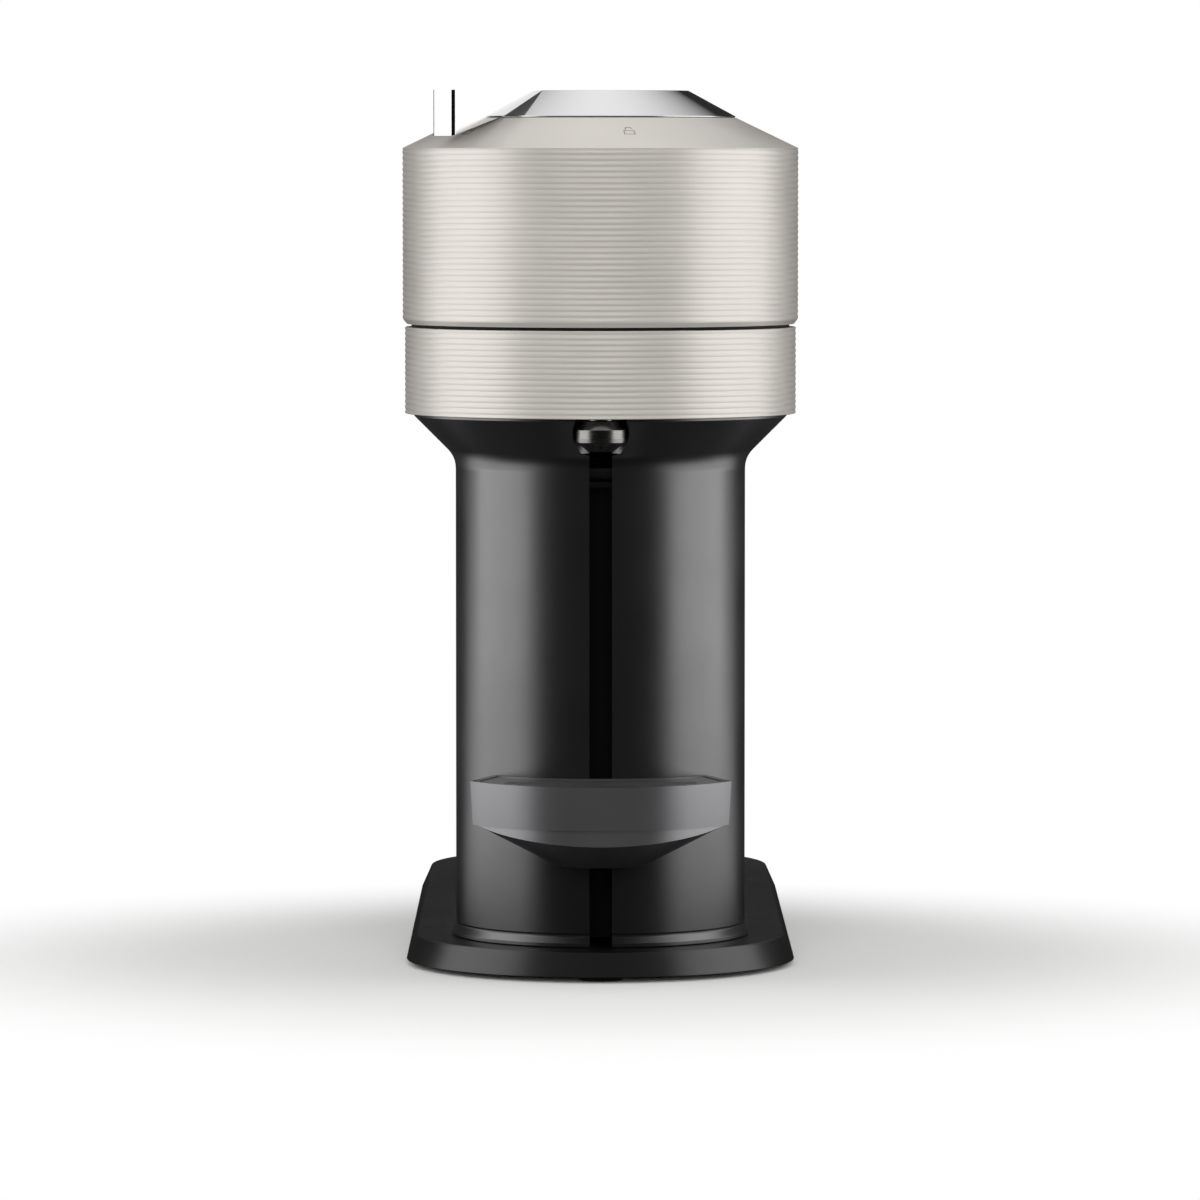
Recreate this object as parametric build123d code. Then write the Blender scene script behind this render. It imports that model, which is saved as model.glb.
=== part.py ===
from build123d import *
import math
import os

os.makedirs("parts", exist_ok=True)

# Pod coffee machine that spins its capsule. Millimetres. X is right, Y is back, Z is up.
# Everything is drawn about the head's axis and moved at the end, so that the origin is on
# the ground under the middle of the footprint.

# Overall sizes
overall_height = 314.0
overall_depth = 429.0
head_radius = 71.0
column_radius = 52.0
base_radius = 70.0
cup_reach = 91.0

# Walls and clearances
wall = 2.5
thin_wall = 1.6
free_gap = 0.3
running_gap = 0.02
trim_gap = 0.4

# Base plate
foot_height = 1.8
base_height = 9.0
base_taper = 4.0
base_skin = 2.4
cover_thickness = 1.6
foot_radius = 8.0

# Upper head: cap, cone, ribbed wall, and the joint line over the lower band
cap_height = 9.2
cap_foot_radius = 48.5
cap_flat_radius = 31.6
cone_height = 11.3
head_wall_height = 62.9
head_gap = 1.1
head_chamfer = 1.7
band_height = 31.0
band_radius = 70.2

# Lever, in degrees to the left of the front when it is locked
lever_angle = 52.0
lever_turn = 62.0
lever_width = 12.0
lever_reach = 71.0
lever_tip_depth = 16.2
sleeve_radius = 37.9
sleeve_drop = 26.8

# Start button in the middle of the cap
button_radius = 15.9
button_travel = 1.5
light_ring_width = 1.6
button_recess = 0.6

# Neck between the column and the band
neck_radius = 66.9
neck_fillet = 10.0
foot_ring = 1.4
foot_ring_height = 3.6

# Groove in the column and the rail behind it
groove_width = 8.0
rail_width = 18.0
rail_depth = 12.4
rail_wall = 2.2

# Spout
spout_radius = 8.7
spout_forward = 62.0
spout_drop = 11.5
spout_tip_radius = 4.5
spout_stem_radius = 5.2
spout_bore = 2.6

# Cup support
support_top = 70.9
support_face = 15.4
support_corner_x = 46.0
support_corner_y = 62.0
support_back_x = 38.0
support_drop = 14.6
support_taper = 3.0
support_foot_radius = 16.0
support_wall = 2.6
tray_depth = 9.0
grid_thickness = 1.6
grid_slot = 3.0
grid_pitch = 5.2

# Brewing chamber
capsule_rim = 1.4
rim_radius = 34.0
holder_rim = 2.5
holder_mouth = 29.0
holder_floor_radius = 23.0
holder_depth = 28.0
deck_drop = 4.0
deck_thickness = 3.0
gutter_radius = 51.0
gutter_inner = 35.4
shaft_radius = 3.0
chute_width = 34.0
fork_inner = 29.3
fork_outer = 40.0
fork_thickness = 1.6
fork_pivot_back = 48.0
fork_pivot_rise = 2.6
fork_pin_radius = 1.0
fork_eye_radius = 2.2

# Motor
motor_radius = 27.0
motor_length = 50.0
mount_thickness = 4.0
mount_drop = 3.6

# Head hinge
hinge_back = 80.0
hinge_rise = 5.4
hinge_pin_radius = 3.0
hinge_eye_radius = 6.0
arm_inner = 31.0
arm_width = 6.6
ear_width = 6.0

# Clamp in the upper head
clamp_radius = 28.5
clamp_thickness = 3.0
clamp_shaft_radius = 5.0
needle_radius = 1.4
needle_length = 7.7

# Lock ring turned by the cap
lock_radius = 64.0
lock_wall = 2.5
hook_span = 10.0
hook_drop = 22.0
hook_angles = (-75.0, 45.0)

# Rear body, capsule container and water tank
body_half_width = 48.0
tank_radius = 52.0
tank_wall = 2.2
tank_height = 170.0
body_tank_gap = 10.0
bay_floor = 58.0
bay_front = 90.0
body_drop = 17.5
cover_rise = 14.0
dock_wall = 1.5
dock_height = 13.0
lid_thickness = 5.0
socket_offset = 28.0
spigot_radius = 7.5

# Hoses
hose_radius = 2.2

# Levels and places that follow from the sizes above
base_top = foot_height + base_height
cap_foot = overall_height - cap_height
cone_foot = cap_foot - cone_height
head_bottom = cone_foot - head_wall_height
band_top = head_bottom - head_gap
band_bottom = band_top - band_height
head_y = cup_reach - overall_depth / 2
tank_y = overall_depth - cup_reach - base_radius
head_inner = head_radius - wall
band_inner = band_radius - wall
column_inner = column_radius - wall
cone_slope = cone_height / (head_radius - cap_foot_radius)
deck_top = band_top - deck_drop
deck_bottom = deck_top - deck_thickness
rim_top = deck_top + free_gap
rim_bottom = rim_top - holder_rim
clamp_bottom = rim_top + capsule_rim
gutter_bottom = band_bottom + 2.0 + free_gap
hinge_z = head_bottom + hinge_rise
neck_foot = band_bottom - (neck_radius - column_radius)
mount_top = neck_foot - mount_drop
mount_bottom = mount_top - mount_thickness
motor_bottom = mount_bottom - motor_length
body_end = tank_y - tank_radius - body_tank_gap - body_half_width
body_top = band_top - body_drop
cover_top = body_top + 2 * free_gap + cover_rise
chute_top = deck_bottom - 0.5
chute_foot = body_top - 22.0
spout_tip = band_bottom - spout_drop
tank_floor = base_top + 6.5
tank_top = tank_floor + tank_height
rail_front = -column_inner + 1.1
rail_back = rail_front + rail_depth
base_cover_top = foot_height + cover_thickness
FROM_BELOW = (Align.CENTER, Align.CENTER, Align.MIN)


def rod(radius, z0, z1, x=0.0, y=0.0):
    return Pos(x, y, z0) * Cylinder(radius, z1 - z0, align=FROM_BELOW)


def ring(outer, inner, z0, z1, x=0.0, y=0.0):
    return rod(outer, z0, z1, x, y) - rod(inner, z0 - 1, z1 + 1, x, y)


def block(x0, x1, y0, y1, z0, z1):
    middle = Pos((x0 + x1) / 2, (y0 + y1) / 2, (z0 + z1) / 2)
    return middle * Box(x1 - x0, y1 - y0, z1 - z0)


def cross_rod(radius, x0, x1, y, z):
    return Pos((x0 + x1) / 2, y, z) * Rot(0, 90, 0) * Cylinder(radius, x1 - x0)


def turned(*points):
    """A solid of revolution about the head's axis, from (radius, height) points."""
    return revolve(Plane.XZ * make_face(Polyline(*points, close=True)), Axis.Z)


def slab(half_width, *points):
    """A (back, height) outline as thick as twice the half width, across the middle."""
    outline = Plane.YZ * make_face(Polyline(*points, close=True))
    return extrude(outline, amount=half_width, both=True)


def stadium(half_width, y0, y1, z0, z1):
    plan = Rot(0, 0, 90) * SlotCenterToCenter(y1 - y0, 2 * half_width)
    return Pos(0, (y0 + y1) / 2, z0) * extrude(plan, z1 - z0)


def tub(half_width, front, end, z0, z1):
    """Flat at the front, straight sides and a half-round back: the container's plan."""
    straight = block(-half_width, half_width, front, end, z0, z1)
    return straight + rod(half_width, z0, z1, 0, end)


def spring(radius, wire, turns, length):
    """A coil along Z, from the level 0 upwards."""
    path = Helix(pitch=(length - 2 * wire) / turns, height=length - 2 * wire, radius=radius)
    start = Plane(origin=path @ 0, z_dir=path % 0)
    return Pos(0, 0, wire) * sweep(start * Circle(wire), path=path, is_frenet=True)


def hose(*points, bend):
    path = FilletPolyline(*points, radius=bend)
    start = Plane(origin=path @ 0, z_dir=path % 0)
    return sweep(start * Circle(hose_radius), path=path)


def arc_slot(angle0, angle1, inner, outer, z0, z1):
    """A piece of a ring, between two angles counted from the front towards the right."""
    def at(radius, angle):
        turn = math.radians(angle)
        return (radius * math.sin(turn), -radius * math.cos(turn))

    middle = (angle0 + angle1) / 2
    outline = [
        Line(at(inner, angle0), at(outer, angle0)),
        ThreePointArc(at(outer, angle0), at(outer, middle), at(outer, angle1)),
        Line(at(outer, angle1), at(inner, angle1)),
        ThreePointArc(at(inner, angle1), at(inner, middle), at(inner, angle0)),
    ]
    return Pos(0, 0, z0) * extrude(make_face(outline), z1 - z0, dir=(0, 0, 1))


def screw(x, y, z, length, head_radius=3.0, shank_radius=1.4, head_height=1.6, up=1):
    """A pan-head screw: z is the seat under its head, and up is the way its shank points."""
    shank = rod(shank_radius, 0, length)
    head = rod(head_radius, -head_height, 0)
    drive = block(-1.8, 1.8, -0.4, 0.4, -head_height, -head_height + 0.8)
    body = shank + head - drive
    return Pos(x, y, z) * (body if up > 0 else Rot(180, 0, 0) * body)


# ---------------------------------------------------------------- base

base_screw_places = [
    (x, y)
    for y in (-30.0, tank_y / 2, tank_y + 30.0)
    for x in (-48.0, 48.0)
]
foot_places = [
    (0.0, -56.0),
    (-50.0, 0.0),
    (50.0, 0.0),
    (-50.0, tank_y),
    (50.0, tank_y),
    (0.0, tank_y + 52.0),
]
gland_radius = 3.9
gland_bore = 3.2
gland_length = 12.0
gland_z = base_top + 2.2
gland_end = tank_y + tank_radius + 3.6
base_hose_z = base_cover_top + 2.5


def base_outline(inset):
    return Rot(0, 0, 90) * SlotCenterToCenter(tank_y, 2 * (base_radius - inset))


def base_solid(inset, z0, z1):
    angle = math.degrees(math.atan(base_taper / base_height))
    grown = inset + (z0 - foot_height) * base_taper / base_height
    return Pos(0, tank_y / 2, z0) * extrude(base_outline(grown), z1 - z0, taper=angle)


def base_plate():
    shell = base_solid(0, foot_height, base_top)
    shell -= base_solid(wall, foot_height, base_top - base_skin)
    for x, y in base_screw_places:
        shell += rod(3.6, base_cover_top, base_top - 1, x, y)
        shell -= rod(1.45, foot_height, base_top - base_skin, x, y)
    shell -= stadium(18, 60, body_end - 10, base_top - 4, base_top + 1)
    for y in (tank_y - socket_offset, meter_y):
        shell -= rod(hose_radius + 1, base_top - 4, base_top + 1, 0, y)
    shell += block(-8, 8, gland_end - gland_length - 4, gland_end + 4, base_top - 5.4, base_top - 2)
    channel = gland_length + base_radius - tank_radius + 4
    return shell - gland_rod(gland_radius + 0.1, gland_end - gland_length - 0.3, channel)


def gland_rod(radius, start, length):
    return Pos(0, start + length / 2, gland_z) * Rot(90, 0, 0) * Cylinder(radius, length)


def bottom_cover():
    cover = base_solid(wall + free_gap, foot_height, base_cover_top)
    for x, y in base_screw_places:
        cover -= rod(1.7, 0, base_top, x, y)
        cover -= rod(3.3, 0, foot_height + 0.9, x, y)
    for step in range(8):
        y = 90 + step * 12
        cover -= block(-22, 22, y, y + 3, 0, base_top)
    return cover


def rubber_feet():
    feet = [rod(foot_radius, 0, foot_height, x, y) for x, y in foot_places]
    return Compound(children=[chamfer(f.faces().sort_by(Axis.Z)[0].edges(), 0.4) for f in feet])


def cable_gland():
    sleeve = gland_rod(gland_radius, gland_end - gland_length, gland_length)
    return sleeve - gland_rod(gland_bore, gland_end - gland_length - 1, gland_length + 2)


# ---------------------------------------------------------------- column

def column_outline(inset, top):
    """The outer line of foot ring, column, fillet and neck, moved inwards by the inset."""
    corner = neck_foot - 0.9
    line = Polyline(
        (0, base_top + 0.2),
        (column_radius + foot_ring - inset, base_top + 0.2),
        (column_radius + foot_ring - inset, base_top + 1.6),
        (column_radius - inset, base_top + foot_ring_height + 0.2),
        (column_radius - inset, corner),
        (neck_radius - inset, corner + neck_radius - column_radius),
        (neck_radius - inset, top),
        (0, top),
        close=True,
    )
    face = make_face(line)
    bend = face.vertices().sort_by_distance((column_radius - inset, corner))[0]
    return fillet(bend, neck_fillet)


def column_solid(inset, top):
    return revolve(Plane.XZ * column_outline(inset, top), Axis.Z)


def spout_pocket(extra):
    pocket_radius = spout_radius + 1.2 + extra
    low = spout_tip - 1.0
    pocket = rod(pocket_radius, low, band_bottom + 1, 0, -spout_forward)
    funnel = Cone(1.0 + extra, pocket_radius, 6.0, align=FROM_BELOW)
    return pocket + Pos(0, -spout_forward, low - 6.0) * funnel


def column_shell():
    neck_top = band_bottom - 0.2
    outer = column_solid(0, neck_top)
    shell = outer - column_solid(wall, neck_top + 5) + (spout_pocket(thin_wall) & outer)
    shell -= spout_pocket(0)
    half = groove_width / 2
    shell -= block(-half, half, -column_radius - 20, -column_inner + 8, base_top, spout_tip)
    window = column_radius - 14
    shell -= block(-window, window, 0, 2 * column_radius, base_top + 3, neck_top + 1)
    shell += ring(column_inner + 2, column_inner - 4, base_top + 0.2, base_top + 2.2)
    return shell - block(-half, half, -column_radius - 20, -column_inner + 8, base_top, 40)


def groove_rail():
    half = rail_width / 2
    top = mount_bottom - free_gap
    outer = block(-half, half, rail_front, rail_back, base_top + 2.5, top)
    inner = half - rail_wall
    return outer - block(-inner, inner, rail_front - 1, rail_back - rail_wall, 0, top - 2)


def motor_mount():
    plate = rod(column_inner - free_gap, mount_bottom, mount_top)
    plate -= rod(shaft_radius + 6, mount_bottom - 1, mount_top + 1)
    half = rail_width / 2 + free_gap
    plate -= block(-half, half, -column_radius, rail_back + free_gap, 0, mount_top + 1)
    plate -= block(-24, 24, column_inner - 16, column_radius, 0, mount_top + 1)
    for angle in motor_screw_angles:
        x, y = motor_screw_place(angle)
        plate -= rod(1.7, 0, mount_top + 1, x, y)
    return plate


motor_screw_angles = (45.0, 135.0, 225.0, 315.0)


def motor_screw_place(angle):
    turn = math.radians(angle)
    return (motor_radius - 7) * math.cos(turn), (motor_radius - 7) * math.sin(turn)


def screws():
    """The six under the base and the four that hold the motor to its mount."""
    seat = foot_height + 0.9
    under = [screw(x, y, seat, 5.0, head_height=0.8) for x, y in base_screw_places]
    places = [motor_screw_place(angle) for angle in motor_screw_angles]
    top = [screw(x, y, mount_top, 6.5, up=-1) for x, y in places]
    return Compound(children=under + top)


# ---------------------------------------------------------------- drive

bearing_radius = 8.0
bearing_height = 5.0
rotor_radius = 16.0


def motor_housing():
    can = rod(motor_radius, motor_bottom, mount_bottom)
    can -= rod(motor_radius - 2, motor_bottom + 8, mount_bottom - 8)
    can -= rod(bearing_radius + 0.05, motor_bottom + 2, mount_bottom - 2)
    can -= rod(shaft_radius + 1, motor_bottom - 1, mount_bottom + 1)
    for angle in motor_screw_angles:
        x, y = motor_screw_place(angle)
        can -= rod(1.45, mount_bottom - 3, mount_bottom + 1, x, y)
    return can


def stator():
    core = ring(motor_radius - 2.1, rotor_radius + 1, motor_bottom + 8.2, mount_bottom - 8.2)
    for step in range(6):
        slot = block(rotor_radius + 3, motor_radius - 4, -1.5, 1.5, 0, overall_height)
        core -= Rot(0, 0, step * 60) * slot
    return core


def motor_bearings():
    low = motor_bottom + 2.2
    high = mount_bottom - 2.2 - bearing_height
    bore = shaft_radius + running_gap
    rings = [ring(bearing_radius, bore, z, z + bearing_height) for z in (low, high)]
    return Compound(children=rings)


def motor_rotor():
    """The rotor's core, pressed on the shaft that carries the capsule holder."""
    core = rod(rotor_radius, motor_bottom + 10, mount_bottom - 10)
    return core + rod(shaft_radius, motor_bottom + 1, holder_floor_z() - 2.4)


def holder_floor_z():
    return rim_top - holder_depth


def seals():
    """The lip seal on the motor's shaft and the ring in the tank's socket."""
    bore = shaft_radius + running_gap
    shaft = ring(shaft_radius + 7, bore, mount_top + 0.05, mount_top + 3)
    low = base_top + 1.5
    socket = ring(spigot_radius + 1.5, spigot_radius + 0.3, low, low + 2.4, 0, valve_y)
    return Compound(children=[shaft, socket])


def capsule_holder():
    floor = holder_floor_z()
    shell = 2.0
    cup = turned(
        (0, floor - shell),
        (holder_floor_radius + shell, floor - shell),
        (holder_mouth + shell, rim_bottom),
        (rim_radius, rim_bottom),
        (rim_radius, rim_top),
        (holder_mouth, rim_top),
        (holder_mouth - 0.5, rim_bottom),
        (holder_floor_radius, floor),
        (0, floor),
    )
    hub = rod(8, floor - 10, floor - 1)
    cup += hub
    cup -= rod(shaft_radius + running_gap, floor - 11, floor - 2.2)
    for step in range(12):
        cup -= Rot(0, 0, step * 30) * rod(1.2, floor - 3, floor + 3, 17)
    return cup


# ---------------------------------------------------------------- brewing chamber

slot_margin = 3.0
band_gap = chute_width + 2.5


def hook_slots(z0, z1):
    """Ring slots that the lock ring's hooks swing in."""
    inner = lock_radius - lock_wall - 0.7
    outer = lock_radius + 0.7
    cuts = []
    for angle in hook_angles:
        low = angle - hook_span / 2 - 2 * slot_margin
        high = angle + hook_span / 2 + lever_turn + slot_margin
        cuts.append(arc_slot(low, high, inner, outer, z0, z1))
    return cuts


def lower_band():
    band = turned(
        (gutter_radius - 5, band_bottom),
        (band_radius, band_bottom),
        (band_radius, band_top),
        (band_inner, band_top),
        (band_inner, band_bottom + 2),
        (gutter_radius - 5, band_bottom + 2),
    )
    band -= rod(spout_stem_radius + 0.2, band_bottom - 1, band_top, 0, -spout_forward)
    band -= block(-band_gap, band_gap, 0, head_radius + 5, band_bottom + 3.5, band_top + 1)
    return band - block(-12, 12, 40, head_radius + 5, band_bottom - 1, band_bottom + 3)


def chamber_deck():
    deck = ring(band_inner - free_gap, fork_outer, deck_bottom, deck_top)
    for cut in hook_slots(deck_bottom - 1, deck_top + 1):
        deck -= cut
    deck -= block(-band_gap, band_gap, gutter_radius + 0.5, head_radius, 0, deck_top + 1)
    for side in (-1, 1):
        x0 = side * (fork_outer + 1.8)
        lug = block(min(x0, x0 + side * 3.5), max(x0, x0 + side * 3.5), fork_pivot_back - 3,
                    fork_pivot_back + 3, deck_top - 1, fork_pivot_z() + fork_eye_radius)
        deck += lug
    bore = fork_pin_radius + running_gap
    return deck - cross_rod(bore, -60, 60, fork_pivot_back, fork_pivot_z())


def fork_pivot_z():
    return deck_top + fork_pivot_rise


def collector():
    bowl = turned(
        (gutter_inner, gutter_bottom),
        (gutter_radius, gutter_bottom),
        (gutter_radius, deck_bottom - 0.2),
        (gutter_radius - thin_wall, deck_bottom - 0.2),
        (gutter_radius - thin_wall, gutter_bottom + 2),
        (gutter_inner + thin_wall, gutter_bottom + 2),
        (gutter_inner + thin_wall, deck_bottom - 3),
        (gutter_inner, deck_bottom - 3),
    )
    half = spout_stem_radius + 2
    high = gutter_bottom + 8
    front = -spout_forward - 4.6
    bowl += block(-half, half, front, -gutter_radius + 1, gutter_bottom, high)
    low = gutter_bottom + 2
    bowl -= block(2 - half, half - 2, front + 2, -gutter_radius + 3, low, high - 2)
    bowl -= rod(spout_bore, gutter_bottom - 1, low + 1, 0, -spout_forward)
    return bowl


def spout():
    widest = spout_tip + 3.2
    shoulder = band_bottom - 3.8
    barrel = turned(
        (spout_bore, spout_tip),
        (spout_tip_radius, spout_tip),
        (spout_radius - 0.2, widest),
        (spout_radius, widest + 1.5),
        (spout_radius, shoulder),
        (spout_radius - 2.4, band_bottom - 0.9),
        (spout_stem_radius, band_bottom - 0.5),
        (spout_stem_radius, gutter_bottom - 0.1),
        (spout_bore, gutter_bottom - 0.1),
    )
    return Pos(0, -spout_forward, 0) * barrel


def capsule_chute():
    half = chute_width
    start = gutter_radius + 0.6
    end = bay_front + 1.0
    floor = slab(half, (start, chute_top - 1.8), (start, chute_top), (end, chute_foot),
                 (end, chute_foot - 2.4))
    for side in (-1, 1):
        fence = slab(0.8, (start, chute_top - 1.8), (start, chute_top), (end, chute_top),
                     (end, chute_foot - 2.4))
        floor += Pos(side * (half - 0.8), 0, 0) * fence
    for side in (-1, 1):
        x0, x1 = sorted((side * (half - 2.5), side * (half + 1)))
        floor -= block(x0, x1, bay_front - trim_gap, end + 1, 0, overall_height)
    return floor


def barcode_reader():
    low = gutter_bottom + 6
    case = block(gutter_radius + 0.3, gutter_radius + 9, -7, 7, low, deck_bottom - 2.5)
    case += block(gutter_radius + 1, gutter_radius + 6, -9.5, 9.5, gutter_bottom - 0.1, low + 3)
    return case - block(gutter_radius, gutter_radius + 1.6, -3, 3, low + 4, low + 8)


def ejector_fork():
    low = rim_top + 0.5
    high = low + fork_thickness
    plate = arc_slot(-100, 100, fork_inner, fork_outer, low, high)
    for side in (-1, 1):
        x0, x1 = sorted((side * (fork_outer - 4.5), side * (fork_outer - 0.5)))
        plate += block(x0, x1, 0, fork_pivot_back - 1, low, high)
        pivot = cross_rod(fork_eye_radius, x0, x1, fork_pivot_back, fork_pivot_z())
        arm = block(x0, x1, fork_pivot_back - 6, fork_pivot_back, low, high)
        x2, x3 = sorted((side * (fork_outer - 1), side * (fork_outer + 5)))
        stub = cross_rod(fork_pin_radius, x2, x3, fork_pivot_back, fork_pivot_z())
        plate += arm + pivot + stub
    return plate


# ---------------------------------------------------------------- rear body

well_radius = body_half_width - wall - 0.2


def rear_of_column(gap):
    """What the rear body stands clear of: the column, its neck and the band."""
    neck = column_solid(-gap, band_bottom - 0.2)
    return neck + rod(band_radius + gap, band_bottom - gap - 0.2, overall_height)


def body_shell():
    shell = stadium(body_half_width, 0, body_end, base_top + 0.2, body_top)
    shell -= stadium(body_half_width - wall, 0, body_end, base_top - 1, body_top + 1)
    shell -= rear_of_column(0.25)
    shell -= block(-head_radius, head_radius, -head_radius, 0, 0, overall_height)
    well = tub(well_radius + 0.3, bay_front, body_end, bay_floor - 2, body_top)
    well -= tub(well_radius - 1.4, bay_front + 1.4, body_end, bay_floor, body_top + 1)
    mouth = chute_foot - 3
    well -= block(-chute_width, chute_width, bay_front - 1, bay_front + 2, mouth, body_top + 1)
    for step in range(9):
        z = base_top + 8 + step * 5
        shell -= block(-14, 14, body_end + body_half_width - 5, body_end + 60, z, z + 2)
    return shell + well


container_radius = well_radius - 1.4 - 0.6
container_front = bay_front + 1.4 + 0.6


def capsule_container():
    low = bay_floor + free_gap
    rim = body_top + free_gap
    tub_out = tub(container_radius, container_front, body_end, low, rim + 0.1)
    inside = tub(container_radius - 1.8, container_front + 1.8, body_end, low + 1.8, rim + 5)
    flange = tub(body_half_width - 0.2, bay_front, body_end, rim, rim + 1.8)
    mouth = block(-chute_width + 2, chute_width - 2, bay_front - 1, container_front + 2,
                  chute_foot - 5, rim + 5)
    return tub_out + flange - inside - mouth


def container_cover():
    low = body_top + free_gap + 1.8
    top = cover_top
    lid = tub(body_half_width - 0.2, bay_front, body_end, low, top)
    lid = chamfer(lid.faces().sort_by(Axis.Z)[-1].edges(), 1.2)
    lid -= tub(body_half_width - 2.6, bay_front - 1, body_end, low - 1, top - 2)
    grip = stadium(9, body_end - 22, body_end + 22, top - 9, top + 1)
    bowl = stadium(11, body_end - 22, body_end + 22, top - 11, top - 1)
    lid += bowl & tub(body_half_width - 2.6, bay_front, body_end, low, top)
    lid -= grip
    bar = block(-10, 10, body_end - 4, body_end + 4, top - 3, top)
    return lid + bar


def bridge_cover():
    """Hood over the chute between the band and the container."""
    front = band_radius + 0.6
    back = bay_front - 0.4
    half = chute_width + 2.4
    roof_top = cover_top - 0.2
    hood = block(-half, half, front - 12, back, body_top - 6, roof_top)
    hood -= block(-half + 1.8, half - 1.8, 0, back + 1, body_top - 7, roof_top - 2)
    hood -= rod(band_radius + 0.6, 0, overall_height)
    return hood


ear_inner = arm_inner + arm_width + 0.6
arm_outer = arm_inner + arm_width


def hinge_bracket():
    ears = []
    for side in (-1, 1):
        x0, x1 = sorted((side * ear_inner, side * (ear_inner + ear_width)))
        ear = block(x0, x1, hinge_back - 7, hinge_back + 7, body_top - 8, hinge_z)
        ear += cross_rod(7, x0, x1, hinge_back, hinge_z)
        ear -= cross_rod(hinge_pin_radius + running_gap, -99, 99, hinge_back, hinge_z)
        x2, x3 = sorted((side * (ear_inner + ear_width - 1), side * (body_half_width - wall - 0.1)))
        ear += block(x2, x3, hinge_back - 7, hinge_back + 7, body_top - 8, body_top - 0.1)
        x4, x5 = sorted((side * (ear_inner + ear_width - 1), side * (body_half_width - 0.3)))
        ear += block(x4, x5, hinge_back - 7, hinge_back + 7, body_top, body_top + 2)
        ears.append(ear)
    return Compound(children=ears)


def hinge_pins():
    outer = ear_inner + ear_width
    left = cross_rod(hinge_pin_radius, -outer, -arm_inner + 9, hinge_back, hinge_z)
    right = cross_rod(hinge_pin_radius, arm_inner, outer, hinge_back, hinge_z)
    return Compound(children=[left, right])


def lift_spring():
    wire = 0.7
    radius = hinge_pin_radius + 0.4 + wire
    coil = Rot(0, 90, 0) * spring(radius, wire, 4, 7.6)
    return Pos(-arm_inner + 0.4, hinge_back, hinge_z) * coil


# ---------------------------------------------------------------- water path and electrics

pump_x = 12.0
pump_z = base_top + 24.0
pump_front = 78.0
meter_y = body_end + 27.0
board_x = -38.0
heater_bottom = base_top + 20.0
heater_top = motor_bottom - 26.0
heater_back = 4.0


def pump():
    along = Pos(pump_x, pump_front + 40, pump_z) * Rot(90, 0, 0)
    body = along * Cylinder(15, 72)
    body += block(pump_x - 17, pump_x + 17, pump_front + 24, pump_front + 58, pump_z - 17,
                  pump_z + 17)
    body += along * Cylinder(3.2, 92)
    for y in (pump_front + 27, pump_front + 51):
        body += block(pump_x - 12, pump_x + 12, y, y + 4, base_top + 0.3, pump_z - 16)
    return body


def flow_meter():
    body = rod(12, base_top + 0.3, base_top + 14, 0, meter_y)
    body += rod(hose_radius - 0.7, base_top + 10, base_top + 20, 0, meter_y)
    return body - rod(hose_radius + 0.3, 0, base_top + 3, 0, meter_y)


def thermoblock():
    block_body = block(-22, 22, heater_back - 20, heater_back + 20, heater_bottom, heater_top)
    for step in range(5):
        z = heater_bottom + 6 + step * (heater_top - heater_bottom - 12) / 5
        block_body -= block(-23, -19, heater_back - 21, heater_back + 21, z, z + 4)
    block_body = block_body + rod(3, heater_top - 1, heater_top + 6, 14, heater_back)
    block_body += rod(3, heater_bottom - 6, heater_bottom + 1, 14, heater_back + 8)
    for x in (-15, 15):
        block_body += rod(3.5, base_top + 0.3, heater_bottom + 1, x, heater_back - 12)
    return block_body


def control_board():
    y0, y1 = 70.0, body_end + 10
    board = block(board_x - 0.8, board_x + 0.8, y0, y1, base_top + 0.3, base_top + 42)
    for step in range(3):
        y = y0 + 8 + step * 24
        board += block(board_x + 0.5, board_x + 9, y, y + 14, base_top + 6, base_top + 20)
    return board + block(board_x + 0.5, board_x + 13, y1 - 20, y1 - 4, base_top + 8, base_top + 34)


def hoses():
    """Socket to flow meter, meter to pump, pump to heater, and heater up to the hinge."""
    return Compound(children=[tank_hose(), meter_hose(), pump_hose(), boiler_hose()])


def tank_hose():
    """From the tank's socket, through the hollow base, up into the flow meter."""
    y = tank_y - socket_offset
    return hose((0, y, base_top + 1.2), (0, y, base_hose_z), (0, meter_y, base_hose_z),
                (0, meter_y, base_top + 2.6), bend=2.4)


def pump_hose():
    y = pump_front - 6.2
    return hose((pump_x, y, pump_z), (pump_x, y - 8, pump_z), (14, heater_back + 36, pump_z - 18),
                (14, heater_back + 8, heater_bottom - 14),
                (14, heater_back + 8, heater_bottom - 6.2), bend=5)


def meter_hose():
    y = meter_y
    end = pump_front + 86.2
    return hose((0, y, base_top + 20.2), (0, y, pump_z + 6), (pump_x, end + 16, pump_z + 2),
                (pump_x, end + 8, pump_z), (pump_x, end, pump_z), bend=3)


def boiler_hose():
    x = ear_inner + 2
    top = body_top - 8.3
    return hose((14, heater_back, heater_top + 6.2), (14, heater_back, heater_top + 14),
                (20, 44, heater_top + 24), (20, 46, mount_top + 4), (x, 68, top - 24),
                (x, hinge_back, top - 12), (x, hinge_back, top), bend=6)


# ---------------------------------------------------------------- upper head

ledge = cap_foot - 1.4


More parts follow.
